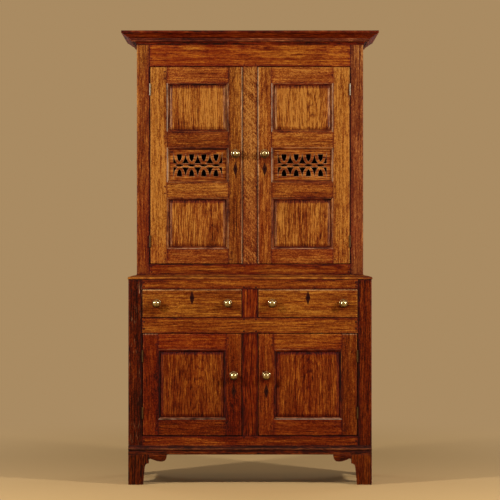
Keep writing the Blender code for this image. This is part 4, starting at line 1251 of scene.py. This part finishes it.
def make_drawers():
    """Two drawers: a polished front, and sides, a back and a bottom of dry oak."""
    for name, tone in (("left_drawer", "nut"), ("right_drawer", "amber")):
        low, high = corners_of(f"{name}_front")
        boarded(f"{name}_front_board", f"{name}_front", low, high, "front", tone, "red_oak", X,
                (ARRIS, ARRIS, ARRIS, FAINT_HIGHLIGHT_EDGE), fleck=0.35, body=name, dry=(0.0, 0.7))
        make_drawer_box(name)
        for end in SIDES:
            make_knob(f"{name}_{end}_knob", name, low[1])
        x, z = middle_of(f"{name}_front")
        make_escutcheon(f"{name}_escutcheon", name, x, z + DRAWER_LOZENGE_RISE, low[1])
        make_dovetails(name, low, high)


def make_drawer_box(name):
    node = f"{name}_box"
    low, high = corners_of(node)
    left = low[0] + DRAWER_SIDE_THICK
    right = high[0] - DRAWER_SIDE_THICK
    back = high[1] - DRAWER_SIDE_THICK
    floor = low[2] + DRAWER_BOTTOM_RAISE
    floor_end = (right - FIT, back - FIT, floor + DRAWER_BOTTOM_THICK)
    edges = (SHARP, SHARP, SHARP, PLAIN)
    boards = {
        "left_side": (low, (left, high[1], high[2]), "left", Y, edges),
        "right_side": ((right, low[1], low[2]), high, "right", Y, edges),
        "back": ((left + FIT, back, low[2]), (right - FIT, high[1], high[2]), "back", X, edges),
        "bottom": ((left + FIT, low[1], floor), floor_end, "top", X, (SHARP,) * 4),
    }
    for board, placed in boards.items():
        inside_board(f"{name}_{board}", node, *placed, body=name)


TAILS = 3
TAIL_LAP = 0.006  # of the front that covers the ends of the tails
TAIL_HALVES = (0.115, 0.075)  # half the wide end and half the narrow end, over the drawer's height
TAIL_PROUD = 0.0004


def make_dovetails(name, low, high):
    """The tails of a drawer's sides, which show on the ends of its front."""
    tall = high[2] - low[2]
    wide, narrow = (tall * share for share in TAIL_HALVES)
    near, far = low[1] + TAIL_LAP, high[1]
    solids = []
    for x in (low[0], high[0]):
        for n in range(TAILS):
            z = low[2] + tall * (n + 0.5) / TAILS
            outline = [(near, z - wide), (far, z - narrow), (far, z + narrow), (near, z + wide)]
            solid = plate(outline, X, x - TAIL_PROUD, x + TAIL_PROUD,
                          radius=0.0002, wear_wide=0.0006, dry=(0.6, 0.6))
            solids.append(solid.cut(f"{name} tail {x} {n}", "dry", Y))
    make_piece(f"{name}_dovetails", name, [], joined(solids), "inside_oak")


def make_cornice():
    """The cornice: a front length and two returns, mitred at the corners."""
    low, high = corners_of("cornice")
    frame_low, frame_high = corners_of("upper_face_frame")
    half = frame_high[0]
    front, rear = frame_low[1], high[1]
    reach = high[0] - half
    foot, top = low[2], high[2]
    fillet, cove, bead = 0.003, 0.0155, 0.007
    quirk, swell = 0.0004, 0.0015
    cove_head = foot + 0.0135
    lip_foot = top - 0.0095
    # Darkened under the foot, in the quirks and the cove: painted shade; the worn bead crests are painted
    # pale as highlights
    line = [(FIT, foot, 0, 0.7), (fillet, foot, 0, 0.3)]
    line += swept((fillet, foot), (fillet, cove_head), (cove, cove_head), 0, 0.3)[:-1]
    for n in range(2):
        out = cove + n * bead
        up = cove_head + n * bead
        line += [(out, up - quirk, 0, 1), (out, up, 0, 1)]
        line += swept((out, up), (out + bead + swell, up), (out + bead, up + bead * 0.55), 1, 0, 5)
        line += [(out + bead, up + bead - 2 * quirk, 0.5, 0.5)]
    head = (cove + 2 * bead, cove_head + 2 * bead)
    middle = ((head[0] + reach) / 2, (head[1] + lip_foot) / 2)
    line += swept(head, (middle[0] - 0.003, middle[1] - 0.004), middle, 0, 0)
    line += swept(middle, (middle[0] + 0.004, middle[1] + 0.003), (reach, lip_foot), 0, 0)
    line += [(reach, top - 0.002, 0.5, 0), (reach - 0.0006, top - 0.0006, 1, 0.3), (reach - 0.002, top, 0, 1)]
    line += [(FIT, top, 0, 1)]

    def mitre(hand):
        return lambda out, up: (hand * (half + out), front - out, up)

    def rear_end(hand):
        return lambda out, up: (hand * (half + out), rear, up)

    runs = {"cornice_front": (X, mitre(-1), mitre(1), LONG_ROWS, "dark_oak")}
    for side, hand in SIDES.items():
        runs[f"cornice_{side}_return"] = (Y, mitre(hand), rear_end(hand), MOULDING_ROWS, "matt_oak")
    for name, (grain, start, end, rows, finish) in runs.items():
        solid = moulded_length(line, start, end, rows, crest_highlight=0.18).cut(name, "plum", grain)
        is_top = solid.points[:, 2] > top - SAME_PLACE
        solid.dry[is_top] = 1.0
        solid.dirt[is_top] = 0.0
        make_piece(name, "case", ["cornice"], solid, finish, sharp=35)


def make_waist():
    """The waist board, moulded along its front and ends with a nose, a step and a cove."""
    low, high = corners_of("waist_board")
    over = 0.003
    half = high[0] - over
    front, rear = low[1] + over, high[1]
    foot, top = low[2], high[2]
    nose_foot = foot + 0.006
    nose_head = foot + 0.0125
    step = over - 0.013
    cove_foot = nose_head + 0.002
    ledge = 0.001 - (half - corners_of("upper_face_frame")[1][0])
    # Darkened underneath, in the step and along the back of the top where the upper stage stands: painted
    # shade
    line = [(0, foot, 0, 0.6), (over * 0.8, foot + WAIST_UNDERCUT * 0.7, 0.3, 0)]
    line += [(over, foot + WAIST_UNDERCUT, 1, 0), (over, nose_foot, 1, 0)]
    line += swept((over, nose_foot), (over, nose_head), (step, nose_head), 0.8, 0)[:-1]
    line += [(step, nose_head, 0, 0.9), (step, cove_foot - 0.0003, 0, 0.9), (step - 0.0003, cove_foot, 1, 0)]
    line += swept((step, cove_foot), (ledge, cove_foot), (ledge, top), 0.3, 0.1)[:-1]
    line += [(ledge, top, 0, 0.8)]
    rings = []
    for out, up, wear, dirt in line:
        side = half + out
        ring = [((x, front - out, up), wear, dirt, 0.0) for x in (-side, side)]
        ring += [((x, rear, up), 0.0, dirt, 0.0) for x in (side, -side)]
        rings.append(ring)
    solid = lofted(rings).cut("waist_board", "nut", X)
    make_piece("waist_board_moulded", "case", ["waist_board"], solid, "red_oak", sharp=35)


FOOT_TONES = {"left": ("soot", "soot"), "right": ("peat", "smoke")}


def make_base():
    """The base moulding, and the bracket feet, each of a foot and a wing glued to it."""
    low, high = corners_of("base_moulding")
    nose, back = low[1], high[1]
    flat = nose + 0.004
    foot, top = low[2], high[2]
    flat_top = foot + 0.020
    bead_top = flat_top + 0.008
    bead_nose = (nose, (flat_top + bead_top) / 2)
    cove = (flat + 0.0006, bead_top + 0.0002)
    # Darkened underneath and in the creases by the flat and the bead: painted shade; the worn bead is painted
    # pale as a highlight
    line = [(back, foot, 0, 0.5), (flat + 0.0008, foot, 0, 0.5), (flat, foot + 0.0008, 0.2, 0)]
    line += [(flat, flat_top - 0.0006, 0, 0.2), (flat + 0.0004, flat_top, 0, 0.7)]
    line += swept((flat, flat_top), (nose, flat_top), bead_nose, 1, 0)
    line += swept(bead_nose, (nose, bead_top), (flat, bead_top), 1, 0)
    line += [(*cove, 0, 1)]
    line += swept(cove, (back - 0.0012, bead_top), (back - 0.0008, top - 0.001), 0.2, 0.3)
    line += [(back, top, 0.5, 0.2)]
    ends = [lambda y, z, x=x: (x, y, z) for x in (low[0], high[0])]
    solid = moulded_length(line, *ends, LONG_ROWS, crest_highlight=0.28).cut("base_moulding", "bark", X)
    make_piece("base_moulding_length", "case", ["base_moulding"], solid, "dark_oak", sharp=35)
    for side, hand in SIDES.items():
        node = f"front_{side}_foot"
        box_low, box_high = corners_of(node)
        outer = max(abs(box_low[0]), abs(box_high[0]))
        names = (node, f"{node}_wing")
        for name, outline, tone, grain in zip(names, foot_outlines(box_high[2]), FOOT_TONES[side], (Z, X)):
            placed = [(hand * (outer - reach), height) for reach, height in outline]
            solid = plate(placed, Y, box_low[1], box_high[1], radius=0.0016, wear_wide=0.004, dry=(0.0, 1.0))
            make_piece(f"{name}_block", "case", [node], solid.cut(name, tone, grain), "dark_oak", sharp=45)


def foot_outlines(top):
    """A bracket foot and its wing, from the outer edge in and up from the floor."""
    ankle = (0.070, top - 0.067)
    cusp = (0.089, top - 0.038)
    peak = (0.098, top - 0.018)
    lobe = (0.145, top - 0.030)
    wing = 0.167
    crack = 0.0003
    foot = [(0, 0), (0.064, 0), ankle]
    foot += curve(ankle, (ankle[0], cusp[1]), (cusp[0] - crack, cusp[1]), 8)
    foot += [(cusp[0] - crack, top), (0, top)]
    tip = (cusp[0] + crack, cusp[1] + 0.015)
    block = [tip]
    block += curve(tip, (tip[0], peak[1]), peak, 5)
    block += curve(peak, ((peak[0] + lobe[0]) / 2, lobe[1]), lobe, 8)
    block += curve(lobe, (wing, lobe[1]), (wing, top), 8)
    block += [(tip[0], top)]
    return foot, block


def make_upper_case():
    """Sides, back, top, floor and shelves of the upper stage."""
    for side in SIDES:
        node = f"upper_{side}_side"
        low, high = corners_of(node)
        split = low[1] + (high[1] - low[1]) * SIDE_SPLIT
        planks = {"fore": (low[1], split - CRACK / 2, JOINT), "rear": (split + CRACK / 2, high[1], ARRIS)}
        for part, (start, end, rear_edge) in planks.items():
            boarded(f"{node}_{part}_plank", node, (low[0], start, low[2]), (high[0], end, high[2]), side,
                    "chestnut", "red_oak", Z, (JOINT, rear_edge, JOINT, JOINT), fleck=0.3, cell=BIG_CELL)
    inside = inner_faces("upper")
    back_boards("upper_back", inside)
    for node in ("upper_floor", "upper_shelf_low", "upper_shelf_high"):
        make_shelf(node, inside)
    low, high = corners_of("upper_top_board")
    cuts = np.linspace(low[1], high[1], TOP_BOARDS + 1)
    for n in range(TOP_BOARDS):
        edges = (SHARP, SHARP, PLAIN if n else SHARP, SHARP if n == TOP_BOARDS - 1 else PLAIN)
        start = (low[0], cuts[n] + CRACK / 2, low[2])
        end = (high[0], cuts[n + 1] - CRACK / 2, high[2])
        inside_board(f"upper_top_board_{n + 1}", "upper_top_board", start, end, "top", X, edges,
                     dry=(0.75, 1.0))


def inner_faces(stage):
    """Where the inner faces of a stage's side planks are, across X."""
    return corners_of(f"{stage}_left_side")[1][0] + FIT, corners_of(f"{stage}_right_side")[0][0] - FIT


def make_shelf(node, inside):
    low, high = corners_of(node)
    inside_board(f"{node}_board", node, (inside[0], *low[1:]), (inside[1], *high[1:]), "top", X,
                 (SHARP, SHARP, PLAIN, SHARP))


def back_boards(node, inside):
    """Upright boards of slightly different widths, with open cracks between them."""
    low, high = corners_of(node)
    draw = random.Random(f"{RANDOM_SEED} {node}")
    shares = [draw.uniform(0.8, 1.2) for _ in range(BACK_BOARDS)]
    x = inside[0]
    for n, share in enumerate(shares):
        wide = (inside[1] - inside[0]) * share / sum(shares)
        start = (x + CRACK, *low[1:])
        end = (x + wide - CRACK, *high[1:])
        inside_board(f"{node}_board_{n + 1}", node, start, end, "back", Z, (PLAIN,) * 4, fleck=0.1)
        x += wide


def make_lower_case():
    """Sides with arched feet, back, floor and drawer bed of the lower stage."""
    for side, tone, dry in (("left", "cocoa", (0.0, 1.0)), ("right", "mahogany", (1.0, 0.0))):
        node = f"lower_{side}_side"
        low, high = corners_of(node)
        solid = plate(side_outline(low, high), X, low[0], high[0], radius=0.0015, wear_wide=0.006, dry=dry)
        solid.cut(node, tone, Z, fleck=0.2)
        make_piece(f"{node}_plank", "case", [node], solid, "dark_oak", sharp=45)
    inside = inner_faces("lower")
    back_boards("lower_back", inside)
    make_shelf("lower_floor", inside)
    node = "drawer_bed"
    low, high = corners_of(node)
    bed_top = low[2] + BOARD_THICK
    edges = (SHARP,) * 4
    inside_board(f"{node}_board", node, (inside[0], *low[1:]), (inside[1], high[1], bed_top), "top", X, edges)
    front_low, front_high = corners_of("left_drawer_front")
    outer = front_low[0] - GUIDE_GAP
    middle = -front_high[0] - GUIDE_GAP
    guides = {"left": (inside[0], outer), "middle": (-middle, middle), "right": (-outer, inside[1])}
    for name, (start, end) in guides.items():
        guide_low = (start, low[1], bed_top + FIT)
        guide_high = (end, high[1], bed_top + GUIDE_HIGH)
        inside_board(f"drawer_guide_{name}", node, guide_low, guide_high, "top", Y, edges)


def side_outline(low, high):
    """A lower side plank in Y and Z, with the arch that leaves a foot at each end."""
    front = low[1] + 0.085
    rear = high[1] - 0.100
    tall, bend = 0.105, 0.045
    spring = tall - bend
    outline = [(low[1], 0), (front, 0), (front, spring)]
    outline += curve(outline[-1], (front, tall), (front + bend, tall), 8)
    outline += [(rear - bend, tall)]
    outline += curve(outline[-1], (rear, tall), (rear, spring), 8)
    outline += [(rear, 0), (high[1], 0), (high[1], high[2]), (low[1], high[2])]
    return outline


def dress_hinges():
    """The hinge leaves keep their solids, in old brass, with the high hinges of the upper doors in a lighter
    brass: a painted highlight.
    """
    for name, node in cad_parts.items():
        if name.endswith("_leaf"):
            is_bright = name.startswith("upper") and "high" in name
            node.data.materials.clear()
            node.data.materials.append(FINISHES["rubbed_brass" if is_bright else "old_brass"])


BACKDROP = (0.40, 0.258, 0.122, 1.0)
AMBIENT = (0.065, 0.064, 0.062, 1.0)
FLOOR_COLOUR = (0.72, 0.455, 0.185, 1.0)
FLOOR_SIZE = 40
FLOOR_NEAR = 1.2
FLOOR_FAR = 3.6
CAMERA_PLACE = (0.0, -10.195, 1.018)
CAMERA_LENS = 165.4
# Lamps: place, the point that they face, power in watts, and width
LAMPS = {
    "front_left_lamp": ((-2.5, -2.0, 2.1), (0, -0.2, 1.0), 64, 0.35),
    "front_right_lamp": ((2.5, -2.0, 2.1), (0, -0.2, 1.0), 64, 0.35),
    "high_lamp": ((0, -2.0, 4.6), (0, -0.2, 0.9), 10, 3.0),
    "rear_left_lamp": ((-3.2, 3.4, 1.0), (0, 0.2, 1.0), 60, 2.6),
    "rear_right_lamp": ((3.2, 3.4, 1.0), (0, 0.2, 1.0), 60, 2.6),
}


def shown_rays(start):
    """1 for what the camera sees, straight, in a reflection or through something clear."""
    kinds = ("Is Camera Ray", "Is Glossy Ray", "Is Transmission Ray")
    seen, glossy, through = (start.node("ShaderNodeLightPath", None, None, kind) for kind in kinds)
    return (seen + glossy + through).clamped()


def make_floor():
    """A plain floor that fades into the backdrop away from the cupboard."""
    corners = [(-FLOOR_SIZE, -FLOOR_SIZE, 0), (FLOOR_SIZE, -FLOOR_SIZE, 0)]
    corners += [(FLOOR_SIZE, FLOOR_SIZE, 0), (-FLOOR_SIZE, FLOOR_SIZE, 0)]
    mesh = bpy.data.meshes.new("floor")
    mesh.from_pydata(corners, [], [(0, 1, 2, 3)])
    material, shader, start = start_material("pale_floor")
    feed(shader, "Base Color", FLOOR_COLOUR)
    feed(shader, "Roughness", 0.9)
    feed(shader, "Specular IOR Level", 0.1)
    distance = start.node("ShaderNodeVectorMath", {"operation": "LENGTH"}, {0: object_place(start)}, 1)
    glow = start.node("ShaderNodeEmission", None, {"Color": BACKDROP, "Strength": 1.0})
    share = distance.between(FLOOR_NEAR, FLOOR_FAR) * shown_rays(start)
    mixed = start.node("ShaderNodeMixShader", None, {0: share, 1: start, 2: glow})
    feed(start.tree.nodes["Material Output"], 0, mixed)
    mesh.materials.append(material)
    floor = add_object("floor", mesh)


def make_world():
    """Soft light from all round, and a pale backdrop for the camera and for reflections."""
    world = bpy.data.worlds.new("studio")
    world.use_nodes = True
    bpy.context.scene.world = world
    background = world.node_tree.nodes["Background"]
    start = Value(world.node_tree, background.outputs[0])
    feed(background, "Color", shown_rays(start).mixed(AMBIENT, BACKDROP))


def make_lamps():
    for name, (place, target, power, size) in LAMPS.items():
        lamp = bpy.data.lights.new(name, "AREA")
        lamp.energy = power
        lamp.shape = "DISK"
        lamp.size = size
        holder = add_object(name, lamp)
        holder.location = place
        holder.rotation_euler = (Vector(target) - Vector(place)).to_track_quat("-Z", "Y").to_euler()
        holder.visible_camera = False


def make_camera():
    camera = bpy.data.cameras.new("camera")
    camera.lens = CAMERA_LENS
    holder = add_object("camera", camera)
    holder.location = CAMERA_PLACE
    holder.rotation_euler = (math.pi / 2, 0, 0)
    bpy.context.scene.camera = holder


bpy.context.scene.view_settings.view_transform = "Standard"
make_camera()
make_lamps()
make_world()
make_floor()
make_face_frames()
make_upper_case()
make_lower_case()
make_cornice()
make_waist()
make_base()
make_doors()
make_drawers()
dress_hinges()
